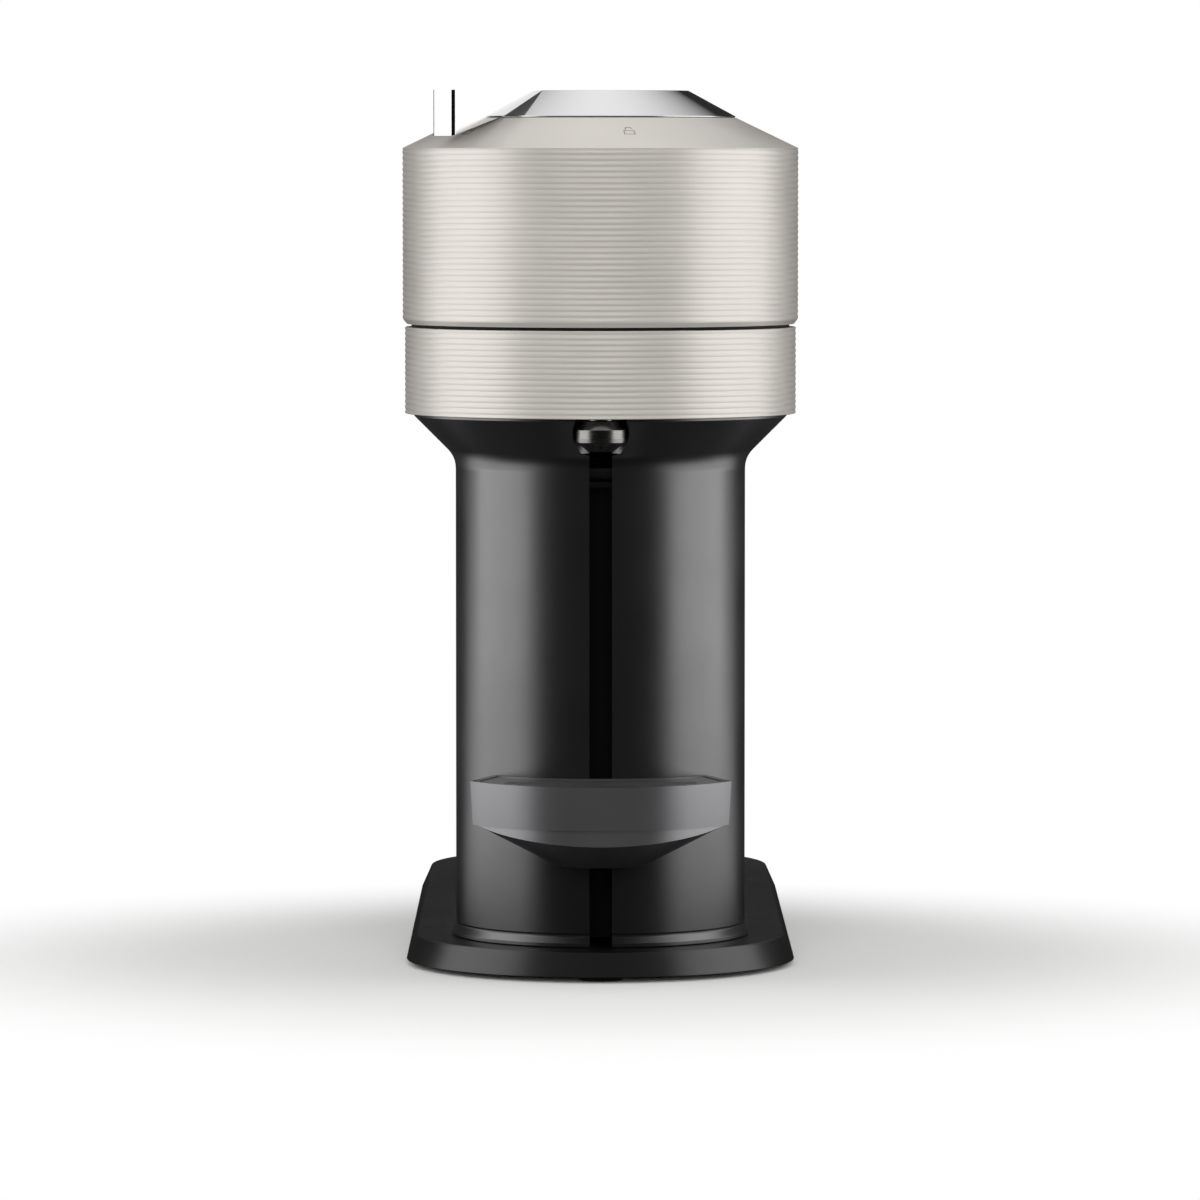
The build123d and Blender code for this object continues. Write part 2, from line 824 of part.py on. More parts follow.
def head_shell():
    inner_cone = head_inner - (ledge - 2.4 - (cone_foot - 1.6)) / cone_slope
    shell = turned(
        (head_radius - head_chamfer, head_bottom),
        (head_radius, head_bottom + head_chamfer),
        (head_radius, cone_foot),
        (cap_foot_radius, cap_foot - trim_gap),
        (cap_foot_radius, ledge),
        (sleeve_radius + free_gap, ledge),
        (sleeve_radius + free_gap, ledge - 14),
        (sleeve_radius + free_gap + wall, ledge - 14),
        (sleeve_radius + free_gap + wall, ledge - 2.4),
        (inner_cone, ledge - 2.4),
        (head_inner, cone_foot - 1.6),
        (head_inner, head_bottom),
    )
    for side in (-1, 1):
        x0, x1 = sorted((side * (arm_inner - 0.6), side * (arm_outer + 0.6)))
        shell -= block(x0, x1, 30, head_radius + 5, head_bottom - 1, hinge_z + 7)
    return shell


def head_base():
    base = ring(head_inner - 0.2, rim_radius - 1, head_bottom + 0.4, head_bottom + 3)
    for cut in hook_slots(head_bottom - 1, head_bottom + 4):
        base -= cut
    return base


def hinge_arms():
    low = head_bottom + 3.2
    plate = block(-arm_outer, arm_outer, 44, 56, low, low + 3)
    for side in (-1, 1):
        x0, x1 = sorted((side * arm_inner, side * arm_outer))
        plate += block(x0, x1, 50, hinge_back, low, hinge_z + 3)
        plate += cross_rod(hinge_eye_radius, x0, x1, hinge_back, hinge_z)
    plate -= cross_rod(hinge_pin_radius + 0.05, -99, 99, hinge_back, hinge_z)
    return plate


tower_radius = 31.3
tower_top = ledge - 18
bearing_seat = 12.0


def clamp_housing():
    low = head_bottom + 3.2
    housing = turned(
        (bearing_seat + 0.05, low),
        (tower_radius + 11, low),
        (tower_radius + 11, low + 2.4),
        (tower_radius, low + 2.4),
        (tower_radius, tower_top),
        (0, tower_top),
        (0, tower_top - 2),
        (tower_radius - 2.2, tower_top - 2),
        (tower_radius - 2.2, low + 2.4),
        (bearing_seat + 3, low + 2.4),
        (bearing_seat + 3, low + 12),
        (bearing_seat + 0.05, low + 12),
    )
    return housing - block(-4, 4, 20, 40, low + 2.4, tower_top - 6)


def clamp_bearing():
    low = head_bottom + 6
    return ring(bearing_seat, clamp_shaft_radius + running_gap, low, low + 7)


def clamp_plate():
    top = clamp_bottom + clamp_thickness
    plate = rod(clamp_radius, clamp_bottom, top)
    plate = chamfer(plate.faces().sort_by(Axis.Z)[-1].edges(), 0.8)
    plate += rod(9, top - 1, head_bottom + 5)
    plate += rod(clamp_shaft_radius, top, head_bottom + 22)
    plate -= ring(27.6, 23.9, clamp_bottom - 1, clamp_bottom + 0.6)
    return plate - rod(needle_radius + running_gap, 0, head_bottom + 23)


def piercing_needle():
    top = head_bottom + 10
    needle = rod(needle_radius, clamp_bottom - needle_length + 3, top)
    tip = Cone(0.5, needle_radius, 3, align=FROM_BELOW)
    return needle + Pos(0, 0, clamp_bottom - needle_length) * tip


def clamp_seal():
    return ring(27.5, 24, clamp_bottom - 0.5, clamp_bottom + 0.5)


def water_swivel():
    low = head_bottom + 16
    high = head_bottom + 30
    body = rod(9, low, high) - rod(clamp_shaft_radius + 0.05, low - 1, high - 6)
    body += Pos(0, 11, high - 3) * Rot(90, 0, 0) * Cylinder(2.6, 8)
    struts = block(-3, 3, -tower_radius + 2.3, -5, high - 5, high)
    return body + struts


def head_hose():
    """From the hinge's side to the swivel over the clamp."""
    z = head_bottom + 27
    low = head_bottom + 9
    return hose((0, 15.2, z), (0, 24, z), (0, 36, low + 2), (16, 52, low), (27, 57, low), bend=5)


def lever_cap():
    hole = button_radius + trim_gap + light_ring_width + trim_gap
    ring_low = ledge + 0.6
    cap = turned(
        (cap_foot_radius, cap_foot),
        (cap_flat_radius, overall_height),
        (hole, overall_height),
        (hole, overall_height - 2.2),
        (cap_flat_radius - 0.5, overall_height - 2.2),
        (sleeve_radius - wall, cap_foot + 4.6),
        (sleeve_radius - wall, cap_foot - sleeve_drop + 10),
        (sleeve_radius, cap_foot - sleeve_drop + 10),
        (sleeve_radius, ring_low),
        (cap_foot_radius - trim_gap, ring_low),
        (cap_foot_radius - trim_gap, cap_foot),
    )
    blade_line = Polyline(
        (cap_flat_radius - 3, overall_height),
        (lever_reach, overall_height),
        (lever_reach, overall_height - lever_tip_depth),
        (cap_foot_radius, cap_foot),
        (cap_flat_radius - 3, cap_foot + 7.6),
        close=True,
    )
    blade = extrude(Plane.XZ * make_face(blade_line), amount=lever_width / 2, both=True)
    tip = blade.edges().group_by(Axis.X)[-1]
    blade = chamfer(tip, 0.4)
    return cap + Rot(0, 0, -90 - lever_angle) * blade


def lock_ring():
    disc = tower_top - 18
    sleeve_out = sleeve_radius - wall - 0.2
    sleeve_in = tower_radius + 1.5
    skirt_low = head_bottom + 12.4
    body = turned(
        (sleeve_in, disc - 2.2),
        (lock_radius - lock_wall, disc - 2.2),
        (lock_radius - lock_wall, skirt_low),
        (lock_radius, skirt_low),
        (lock_radius, disc),
        (sleeve_out, disc),
        (sleeve_out, cap_foot - 2),
        (sleeve_in, cap_foot - 2),
    )
    low = skirt_low - hook_drop
    for angle in hook_angles:
        half = hook_span / 2
        inner = lock_radius - lock_wall + 0.2
        outer = lock_radius - 0.2
        body += arc_slot(angle - half, angle + half, inner, outer, low, skirt_low + 2)
        body += arc_slot(angle - half - slot_margin, angle + half, inner, outer, low, low + 2)
    return body


def button_housing():
    top = overall_height - 3.0
    outer = button_radius + trim_gap + light_ring_width
    cup = rod(outer, tower_top + 0.05, top)
    cup -= rod(outer - light_ring_width, tower_top + 2, top + 1)
    return cup + block(-3, 3, -3, 3, board_top - 0.5, switch_top)


def light_ring():
    outer = button_radius + trim_gap + light_ring_width
    low = overall_height - 3.0 + 0.05
    return ring(outer, button_radius + trim_gap, low, overall_height - button_recess + 0.2)


board_top = tower_top + 2
switch_top = board_top + 3.0
button_skirt = overall_height - 8.0


def start_button():
    top = overall_height - button_recess
    cap = rod(button_radius, button_skirt, top)
    cap -= rod(button_radius - thin_wall, button_skirt - 1, top - 2.2)
    dish = Pos(0, 0, top + 218.8) * Sphere(220)
    cap -= dish
    cap += rod(2.4, switch_top + button_travel + 0.1, top - 2)
    return cap


def button_spring():
    length = overall_height - button_recess - 2.3 - board_top
    return Pos(0, 0, board_top + 0.05) * spring(7.5, 0.5, 5, length - 0.1)


# ---------------------------------------------------------------- cup support

def support_plan(inset):
    """Round front, two corners, and a hollow back that follows the column."""
    hug = column_radius + trim_gap
    back_y = -math.sqrt(hug ** 2 - support_back_x ** 2)
    line = [
        ThreePointArc((-support_corner_x, -support_corner_y), (0, -cup_reach),
                      (support_corner_x, -support_corner_y)),
        Line((support_corner_x, -support_corner_y), (support_back_x, back_y)),
        ThreePointArc((support_back_x, back_y), (0, -hug), (-support_back_x, back_y)),
        Line((-support_back_x, back_y), (-support_corner_x, -support_corner_y)),
    ]
    plan = make_face(line)
    return offset(plan, -inset) if inset else plan


def cup_support():
    low = support_top - support_face
    face = Pos(0, 0, support_top) * extrude(support_plan(0), -support_face,
                                             taper=support_taper)
    under_y = -(column_radius + 4)
    cone = Cone(support_foot_radius, support_corner_x - 1.6, support_drop + 0.05,
                align=FROM_BELOW)
    under = Pos(0, under_y, low - support_drop) * cone
    keep = Pos(0, 0, low - support_drop) * extrude(support_plan(support_taper / 2), support_face + 20)
    body = face + (under & keep)
    body -= rod(column_radius + trim_gap, 0, support_top + 1)
    pocket = Pos(0, 0, support_top - tray_depth)
    body -= pocket * extrude(support_plan(support_wall), tray_depth + 1)
    return body


def groove_slider():
    low = support_top - support_face - support_drop + 0.5
    high = support_top - 2
    half = groove_width / 2 - free_gap
    neck = block(-half, half, -column_radius - trim_gap + 0.1, rail_front + 2, low, high)
    tee = rail_width / 2 - rail_wall - trim_gap
    head = block(-tee, tee, rail_front + 0.2, rail_back - rail_wall - trim_gap, low, high)
    return neck + head


def drip_tray():
    low = support_top - tray_depth + free_gap
    high = support_top - free_gap - grid_thickness - free_gap
    outer = extrude(support_plan(support_wall + free_gap), high - low)
    inner = extrude(support_plan(support_wall + free_gap + 1.5), high - low)
    return Pos(0, 0, low) * outer - Pos(0, 0, low + 1.5) * inner


def drip_grid():
    low = support_top - free_gap - grid_thickness
    grid = Pos(0, 0, low) * extrude(support_plan(support_wall + free_gap), grid_thickness)
    first = -cup_reach + 12
    count = int((cup_reach - column_radius - 20) / grid_pitch) + 1
    radius = (support_corner_x ** 2 + (cup_reach - support_corner_y) ** 2) / (
        2 * (cup_reach - support_corner_y)
    )
    for step in range(count):
        y = first + step * grid_pitch
        reach = math.sqrt(radius ** 2 - (y + cup_reach - radius) ** 2) - 8
        half = min(reach, support_back_x - 4)
        slot = SlotOverall(2 * half, grid_slot)
        grid -= Pos(0, y, low - 1) * extrude(slot, grid_thickness + 2)
    return grid


# ---------------------------------------------------------------- water tank

lid_hinge_y = tank_y + tank_radius + 3.5
lid_hinge_z = tank_top + 1.0
valve_y = tank_y - socket_offset
valve_seat = tank_floor + tank_wall


def tank_dock():
    outer = tank_radius + 0.6 + dock_wall
    dock = rod(outer, base_top + 0.05, base_top + dock_height, 0, tank_y)
    dock -= rod(outer - dock_wall, tank_floor - free_gap, overall_height, 0, tank_y)
    dock -= rod(spigot_radius + 3.4, 0, overall_height, 0, valve_y)
    dock -= gland_rod(gland_radius + 0.1, gland_end - gland_length - 0.3, gland_length + 10)
    finger = block(-100, 100, tank_y - 14, tank_y + 14, tank_floor, overall_height)
    return dock - finger


def tank_socket():
    low = base_top + 0.05
    cup = rod(spigot_radius + 3.2, low, tank_floor - free_gap, 0, valve_y)
    cup -= rod(spigot_radius + 1.6, low + 1.4, tank_floor, 0, valve_y)
    cup -= rod(1.2, 0, tank_floor, 0, valve_y)
    pin = ring(1.8, 1.2, low + 1, base_top + 2.6, 0, valve_y)
    return cup + pin - rod(hose_radius + 0.05, 0, low + 1.2, 0, valve_y)


def water_tank():
    tank = rod(tank_radius, tank_floor, tank_top, 0, tank_y)
    tank -= rod(tank_radius - tank_wall, tank_floor + tank_wall, tank_top + 1, 0, tank_y)
    tank += rod(spigot_radius, base_top + 2.2, tank_floor + 1, 0, valve_y)
    tank -= rod(spigot_radius - 2, 0, tank_floor + 0.6, 0, valve_y)
    tank -= rod(3.4, 0, tank_floor + 5, 0, valve_y)
    ears = block(-22, -13, tank_y + tank_radius - 4, lid_hinge_y, tank_top - 14, lid_hinge_z)
    ears += block(13, 22, tank_y + tank_radius - 4, lid_hinge_y, tank_top - 14, lid_hinge_z)
    ears -= rod(tank_radius - 1, 0, overall_height, 0, tank_y)
    for x0, x1 in ((-22, -13), (13, 22)):
        ears += cross_rod(3.2, x0, x1, lid_hinge_y, lid_hinge_z)
    ears -= cross_rod(1.52, -30, 30, lid_hinge_y, lid_hinge_z)
    return tank + ears + valve_cage()


def tank_lid():
    low = tank_top + free_gap
    high = low + lid_thickness
    lid = rod(tank_radius, low, high, 0, tank_y)
    lid = chamfer(lid.faces().sort_by(Axis.Z)[-1].edges(), 1.5)
    inner = tank_radius - tank_wall - 0.5
    lid += ring(inner, inner - 1.6, low - 4, low + 1, 0, tank_y)
    lid -= rod(tank_radius - 6, low - 5, high - 2, 0, tank_y)
    ears = block(-12.5, 12.5, tank_y + tank_radius - 8, lid_hinge_y, low, high - 1)
    ears += cross_rod(3.2, -12.5, 12.5, lid_hinge_y, lid_hinge_z)
    lid += ears
    for side in (-1, 1):
        x0, x1 = sorted((side * 12.6, side * 22.6))
        lid -= block(x0, x1, tank_y + tank_radius - 4.5, lid_hinge_y + 9, 0, overall_height)
    under = block(-12.6, 12.6, tank_y + tank_radius - 1.5, lid_hinge_y + 9, 0, low - 0.01)
    lid -= under - cross_rod(3.2, -12.5, 12.5, lid_hinge_y, lid_hinge_z)
    lid -= cross_rod(1.56, -30, 30, lid_hinge_y, lid_hinge_z)
    grip = stadium(7, tank_y - 42, tank_y - 34, high - 1.2, high + 1)
    return lid - grip


def lid_pin():
    return cross_rod(1.5, -22, 22, lid_hinge_y, lid_hinge_z)


def tank_valve():
    """Stem and disc over the tank's outlet: the disc lifts off its seat in the docked tank."""
    stem = rod(1.7, base_top + 6.0, valve_seat + 15.6, 0, valve_y)
    return stem + rod(5.0, valve_seat + 3.3, valve_seat + 5.0, 0, valve_y)


def valve_cage():
    """Guides the valve's stem and holds the spring down, moulded in the tank's floor."""
    low = valve_seat - 0.5
    high = valve_seat + 16
    cage = ring(8.5, 7.0, low, high, 0, valve_y) + ring(8.5, 1.8, high - 2, high, 0, valve_y)
    for turn in (0, 90):
        window = block(-20, 20, -2.5, 2.5, valve_seat + 1, high - 4)
        cage -= Pos(0, valve_y, 0) * Rot(0, 0, turn) * window
    return cage


def valve_spring():
    low = valve_seat + 5.05
    return Pos(0, valve_y, low) * spring(3.4, 0.4, 4, valve_seat + 13.9 - low)


nodes = {
    "base_plate": base_plate,
    "bottom_cover": bottom_cover,
    "rubber_feet": rubber_feet,
    "cable_gland": cable_gland,
    "column_shell": column_shell,
    "groove_rail": groove_rail,
    "motor_mount": motor_mount,
    "screws": screws,
    "seals": seals,
    "motor_housing": motor_housing,
    "stator": stator,
    "motor_bearings": motor_bearings,
    "motor_rotor": motor_rotor,
    "capsule_holder": capsule_holder,
    "lower_band": lower_band,
    "chamber_deck": chamber_deck,
    "collector": collector,
    "spout": spout,
    "capsule_chute": capsule_chute,
    "barcode_reader": barcode_reader,
    "ejector_fork": ejector_fork,
    "body_shell": body_shell,
    "bridge_cover": bridge_cover,
    "hinge_bracket": hinge_bracket,
    "hinge_pins": hinge_pins,
    "lift_spring": lift_spring,
    "capsule_container": capsule_container,
    "container_cover": container_cover,
    "pump": pump,
    "flow_meter": flow_meter,
    "thermoblock": thermoblock,
    "control_board": control_board,
    "hoses": hoses,
    "head_shell": head_shell,
    "head_base": head_base,
    "hinge_arms": hinge_arms,
    "clamp_housing": clamp_housing,
    "clamp_bearing": clamp_bearing,
    "clamp_plate": clamp_plate,
    "piercing_needle": piercing_needle,
    "clamp_seal": clamp_seal,
    "water_swivel": water_swivel,
    "head_hose": head_hose,
    "lever_cap": lever_cap,
    "lock_ring": lock_ring,
    "button_housing": button_housing,
    "light_ring": light_ring,
    "start_button": start_button,
    "button_spring": button_spring,
    "cup_support": cup_support,
    "groove_slider": groove_slider,
    "drip_tray": drip_tray,
    "drip_grid": drip_grid,
    "tank_dock": tank_dock,
    "tank_socket": tank_socket,
    "water_tank": water_tank,
    "tank_lid": tank_lid,
    "lid_pin": lid_pin,
    "tank_valve": tank_valve,
    "valve_spring": valve_spring,
}

for name, make in nodes.items():
    export_step(Pos(0, head_y, 0) * make(), f"parts/{name}.step")
print(len(nodes), "nodes")
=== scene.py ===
import bmesh
import bpy
from math import asin, cos, pi, radians, sin, sqrt, tan
from mathutils import Matrix, Vector


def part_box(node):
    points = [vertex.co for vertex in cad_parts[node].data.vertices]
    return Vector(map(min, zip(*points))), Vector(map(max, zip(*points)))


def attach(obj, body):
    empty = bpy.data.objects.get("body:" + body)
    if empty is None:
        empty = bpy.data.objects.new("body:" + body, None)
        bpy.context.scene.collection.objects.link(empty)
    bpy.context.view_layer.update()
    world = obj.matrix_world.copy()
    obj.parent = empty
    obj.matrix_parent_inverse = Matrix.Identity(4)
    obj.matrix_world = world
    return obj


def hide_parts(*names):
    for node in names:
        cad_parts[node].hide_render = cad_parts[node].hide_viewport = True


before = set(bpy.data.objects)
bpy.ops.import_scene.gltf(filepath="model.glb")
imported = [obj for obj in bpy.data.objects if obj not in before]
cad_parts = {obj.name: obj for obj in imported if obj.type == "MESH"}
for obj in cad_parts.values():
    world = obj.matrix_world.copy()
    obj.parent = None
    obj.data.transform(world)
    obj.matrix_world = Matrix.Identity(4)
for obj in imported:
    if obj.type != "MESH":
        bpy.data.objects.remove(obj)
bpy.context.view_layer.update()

# A pod coffee machine that spins its capsule. It stands on the floor at z = 0, faces -Y, and
# its round head, column and lever share one upright axis. Sizes are in millimetres from that
# axis and the floor, and become metres where a mesh is made.
mm = 0.001
head_low, head_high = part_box("head_shell")
axis_y = (head_low.y + head_high.y) / 2

# ---------------------------------------------------------------- camera, floor and light
# A long lens a little under the height of the head, tilted down by a few degrees, so the head's
# joint line and the base's front edge bow gently and the top of the cap is seen edge on.
camera_distance = 2.74
camera_height = 0.292
camera_side = -0.0066
camera_tilt = radians(3.36)
camera_turn = radians(-0.135)
camera_lens = 228.8

camera = bpy.data.objects.new("camera", bpy.data.cameras.new("camera"))
camera.data.sensor_width = 36
camera.data.lens = camera_lens
camera.location = (camera_side, axis_y - camera_distance, camera_height)
camera.rotation_euler = (pi / 2 - camera_tilt, 0, camera_turn)
bpy.context.scene.collection.objects.link(camera)
bpy.context.scene.camera = camera
bpy.context.scene.view_settings.view_transform = "Standard"


def linear(code):
    """An sRGB hex colour as the linear colour that the shaders use."""
    parts = [int(code[i:i + 2], 16) / 255 for i in (0, 2, 4)]
    return (*[c / 12.92 if c <= 0.04045 else ((c + 0.055) / 1.055) ** 2.4 for c in parts], 1.0)


def add(tree, kind, inputs=None, **settings):
    """Adds a node. An input is a value, or a (node, output) pair to link from."""
    made = tree.nodes.new(kind)
    for key, value in settings.items():
        setattr(made, key, value)
    for socket, value in (inputs or {}).items():
        if isinstance(value, tuple) and isinstance(value[0], bpy.types.Node):
            tree.links.new(value[0].outputs[value[1]], made.inputs[socket])
        else:
            made.inputs[socket].default_value = value
    return made


def new_material(name):
    """An empty node material and its tree."""
    made = bpy.data.materials.new(name)
    made.use_nodes = True
    made.node_tree.nodes.clear()
    return made, made.node_tree


def show(tree, shader):
    add(tree, "ShaderNodeOutputMaterial", {"Surface": (shader, 0)})


# A sheet of uncoated white paper that runs out into the white room. What the machine mirrors
# of it is grey, and darker in front and behind than at the sides, as where black flags hang.
paper, tree = new_material("uncoated_white_paper")
place = add(tree, "ShaderNodeTexCoord")
fibres = add(tree, "ShaderNodeTexNoise", {
    "Vector": (place, "Object"), "Scale": 1 / (1.5 * mm), "Detail": 3.0})
dent = add(tree, "ShaderNodeBump", {"Height": (fibres, 0), "Strength": 0.05, "Distance": 0.1 * mm})
sheet = add(tree, "ShaderNodeBsdfPrincipled", {
    "Base Color": linear("F6F6F5"), "Roughness": 0.9, "Normal": (dent, 0)})
room = add(tree, "ShaderNodeEmission", {"Color": linear("FFFFFF"), "Strength": 1.0})
run = add(tree, "ShaderNodeVectorMath", {0: (place, "Object"), 1: (0, axis_y, 0)},
          operation="SUBTRACT")
far = add(tree, "ShaderNodeVectorMath", {0: (run, 0)}, operation="LENGTH")
fading = add(tree, "ShaderNodeMapRange", {
    "Value": (far, "Value"), "From Min": 0.14, "From Max": 0.32}, interpolation_type="SMOOTHSTEP")
eye = add(tree, "ShaderNodeMixShader", {0: (fading, 0), 1: (sheet, 0), 2: (room, 0)})
ways = add(tree, "ShaderNodeSeparateXYZ", {0: (add(
    tree, "ShaderNodeVectorMath", {0: (run, 0)}, operation="NORMALIZE"), 0)})
sideways = add(tree, "ShaderNodeMapRange", {
    "Value": (add(tree, "ShaderNodeMath", {0: (ways, "X")}, operation="ABSOLUTE"), 0),
    "From Min": 0.7, "From Max": 0.92, "To Min": 0.03, "To Max": 1.6})
away = add(tree, "ShaderNodeMapRange", {
    "Value": (far, "Value"), "From Min": 0.22, "From Max": 0.42, "To Min": 0.03})
mirrored_sheet = add(tree, "ShaderNodeMath", {0: (sideways, 0), 1: (away, 0)},
                     operation="MULTIPLY")
flagged = add(tree, "ShaderNodeEmission", {
    "Color": linear("FFFFFF"), "Strength": (mirrored_sheet, 0)})
bounce = add(tree, "ShaderNodeEmission", {"Color": linear("FFFFFF"), "Strength": 0.15})
path = add(tree, "ShaderNodeLightPath")
other = add(tree, "ShaderNodeMixShader", {
    0: (path, "Is Diffuse Ray"), 1: (flagged, 0), 2: (bounce, 0)})
straight = add(tree, "ShaderNodeMath", {
    0: (path, "Is Camera Ray"), 1: (path, "Is Transmission Ray")}, operation="MAXIMUM")
show(tree, add(tree, "ShaderNodeMixShader", {0: (straight, 0), 1: (other, 0), 2: (eye, 0)}))

floor_reach = 5.0
floor_mesh = bpy.data.meshes.new("paper_floor")
floor_mesh.from_pydata(
    [(x, y, 0) for x, y in ((-1, -1), (1, -1), (1, 1), (-1, 1))], [], [(0, 1, 2, 3)])
floor_mesh.transform(Matrix.Scale(floor_reach, 4))
floor_mesh.materials.append(paper)
floor = bpy.data.objects.new("paper_floor", floor_mesh)
bpy.context.scene.collection.objects.link(floor)

# The room is white to the eye. Mirrors see it dark at eye level and bright towards the ceiling.
world = bpy.data.worlds.new("studio")
bpy.context.scene.world = world
world.use_nodes = True
world.node_tree.nodes.clear()
sky = world.node_tree
path = add(sky, "ShaderNodeLightPath")
aim = add(sky, "ShaderNodeSeparateXYZ", {0: (add(sky, "ShaderNodeTexCoord"), "Generated")})
upward = add(sky, "ShaderNodeMapRange", {
    "Value": (aim, "Z"), "From Min": 0.40, "From Max": 0.85, "To Min": 0.03, "To Max": 1.25})
behind = add(sky, "ShaderNodeMapRange", {
    "Value": (aim, "Y"), "From Min": -0.4, "From Max": 0.1, "To Min": 0.2, "To Max": 1.0})
ceiling = add(sky, "ShaderNodeMath", {0: (upward, 0), 1: (behind, 0)}, operation="MULTIPLY")
mirrored = add(sky, "ShaderNodeBackground", {
    "Color": linear("FFFFFF"), "Strength": (ceiling, 0)})
soft = add(sky, "ShaderNodeBackground", {"Color": linear("FFFFFF"), "Strength": 0.35})
white = add(sky, "ShaderNodeBackground", {"Color": linear("FFFFFF"), "Strength": 1.0})
lit = add(sky, "ShaderNodeMixShader", {
    0: (path, "Is Diffuse Ray"), 1: (mirrored, 0), 2: (soft, 0)})
straight = add(sky, "ShaderNodeMath", {
    0: (path, "Is Camera Ray"), 1: (path, "Is Transmission Ray")}, operation="MAXIMUM")
seen = add(sky, "ShaderNodeMixShader", {0: (straight, 0), 1: (lit, 0), 2: (white, 0)})
add(sky, "ShaderNodeOutputWorld", {"Surface": (seen, 0)})


def softbox(name, place, aim, width, height, power, mirrored=True):
    """A flat diffused light that faces a point."""
    lamp = bpy.data.lights.new(name, "AREA")
    lamp.shape = "RECTANGLE"
    lamp.size = width
    lamp.size_y = height
    lamp.energy = power
    stand = bpy.data.objects.new(name, lamp)
    stand.location = place
    stand.rotation_euler = (Vector(aim) - Vector(place)).to_track_quat("-Z", "Y").to_euler()
    stand.visible_glossy = mirrored
    bpy.context.scene.collection.objects.link(stand)


middle = (0, axis_y, 0.16)
wall_away = 1.3
wall_size = 1.5
for name, side in (("left_wall", -1), ("right_wall", 1)):
    softbox(name, (side * wall_away, axis_y - 0.12, 0.45), middle, wall_size, wall_size, 11.5)
softbox("overhead", (0, 0.1, 1.7), (0, axis_y, 0.3), 1.8, 1.5, 2, mirrored=False)
softbox("front_fill", (0, -2.4, 0.6), middle, 1.6, 1.0, 46, mirrored=False)


# ---------------------------------------------------------------- base
# A hollow moulding that everything stands on, with sides that lean in. It is matt black ABS from
# a spark-eroded mould, closed from below by a screwed cover that stands on six rubber feet.
def moulded(name, colour, roughness, grain, depth, **more):
    """Injection-moulded plastic: a fine grain left by the mould, and slightly uneven gloss. More
    holds any other inputs of its surface."""
    made, tree = new_material(name)
    place = add(tree, "ShaderNodeTexCoord")
    cells = add(tree, "ShaderNodeTexNoise", {
        "Vector": (place, "Object"), "Scale": 1 / (grain * mm), "Detail": 4.0, "Roughness": 0.6})
    dent = add(tree, "ShaderNodeBump", {
        "Height": (cells, 0), "Strength": 0.35, "Distance": depth * mm})
    flow = add(tree, "ShaderNodeTexNoise", {
        "Vector": (place, "Object"), "Scale": 1 / (28 * mm), "Detail": 2.0})
    gloss = add(tree, "ShaderNodeMapRange", {
        "Value": (flow, 0), "From Min": 0.3, "From Max": 0.7, "To Min": roughness - 0.025,
        "To Max": roughness + 0.025})
    tone = add(tree, "ShaderNodeHueSaturation", {"Color": linear(colour), "Value": (add(
        tree, "ShaderNodeMapRange", {
            "Value": (flow, 0), "From Min": 0.2, "From Max": 0.8, "To Min": 0.95,
            "To Max": 1.05}), 0)})
    show(tree, add(tree, "ShaderNodeBsdfPrincipled", {
        "Base Color": (tone, 0), "Roughness": (gloss, 0), "Normal": (dent, 0), **more}))
    return made


def dress(material, *nodes):
    """Gives these CAD nodes a material of their own."""
    for node in nodes:
        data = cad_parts[node].data
        data.materials.clear()
        data.materials.append(material)


def rounded(corners, steps=5):
    """A closed outline whose corners, each (across, up, radius), are eased by that radius."""
    line = []
    for number, (across, up, radius) in enumerate(corners):
        here = Vector((across, up))
        before = Vector(corners[number - 1][:2])
        after = Vector(corners[(number + 1) % len(corners)][:2])
        if not radius:
            line.append(here)
            continue
        to_before = before - here
        to_after = after - here
        run = radius / tan(to_before.angle(to_after) / 2)
        start = here + to_before.normalized() * min(run, to_before.length * 0.49)
        end = here + to_after.normalized() * min(run, to_after.length * 0.49)
        for step in range(steps + 1):
            t = step / steps
            line.append(start * (1 - t) ** 2 + here * 2 * t * (1 - t) + end * t ** 2)
    return line


def mesh_object(name, points, faces):
    """A mesh of these points, with merged doubles and outward faces."""
    data = bpy.data.meshes.new(name)
    data.from_pydata([(x * mm, axis_y + y * mm, z * mm) for x, y, z in points], [], faces)
    work = bmesh.new()
    work.from_mesh(data)
    bmesh.ops.remove_doubles(work, verts=work.verts, dist=0.002 * mm)
    bmesh.ops.recalc_face_normals(work, faces=work.faces)
    work.to_mesh(data)
    work.free()
    made = bpy.data.objects.new(name, data)
    bpy.context.scene.collection.objects.link(made)
    return made


def turned(name, outline, front=0.0, back=None, steps=192):
    """A closed outline of (radius, up) turned about an upright axis. With a back apart from the
    front, it is drawn out between two axes, to straight sides and round ends."""
    quarter = steps // 4
    rows = [(row, front) for row in range(quarter + 1)]
    rows += [(row, front if back is None else back) for row in range(quarter, 3 * quarter + 1)]
    rows += [(row, front) for row in range(3 * quarter, steps + 1)]
    points = [
        (radius * sin(2 * pi * row / steps), centre - radius * cos(2 * pi * row / steps), up)
        for row, centre in rows for radius, up in outline]
    count = len(outline)
    faces = []
    for row in range(0, (len(rows) - 1) * count, count):
        for i in range(count):
            j = (i + 1) % count
            if outline[i][0] > 0 or outline[j][0] > 0:
                faces.append((row + i, row + count + i, row + count + j, row + j))
    return mesh_object(name, points, faces)


def rod(name, radius, low, high, front=0.0, back=None):
    """An upright round bar, or one drawn out to the back, to cut with."""
    return turned(name, [(0, low), (radius, low), (radius, high), (0, high)], front, back, 96)


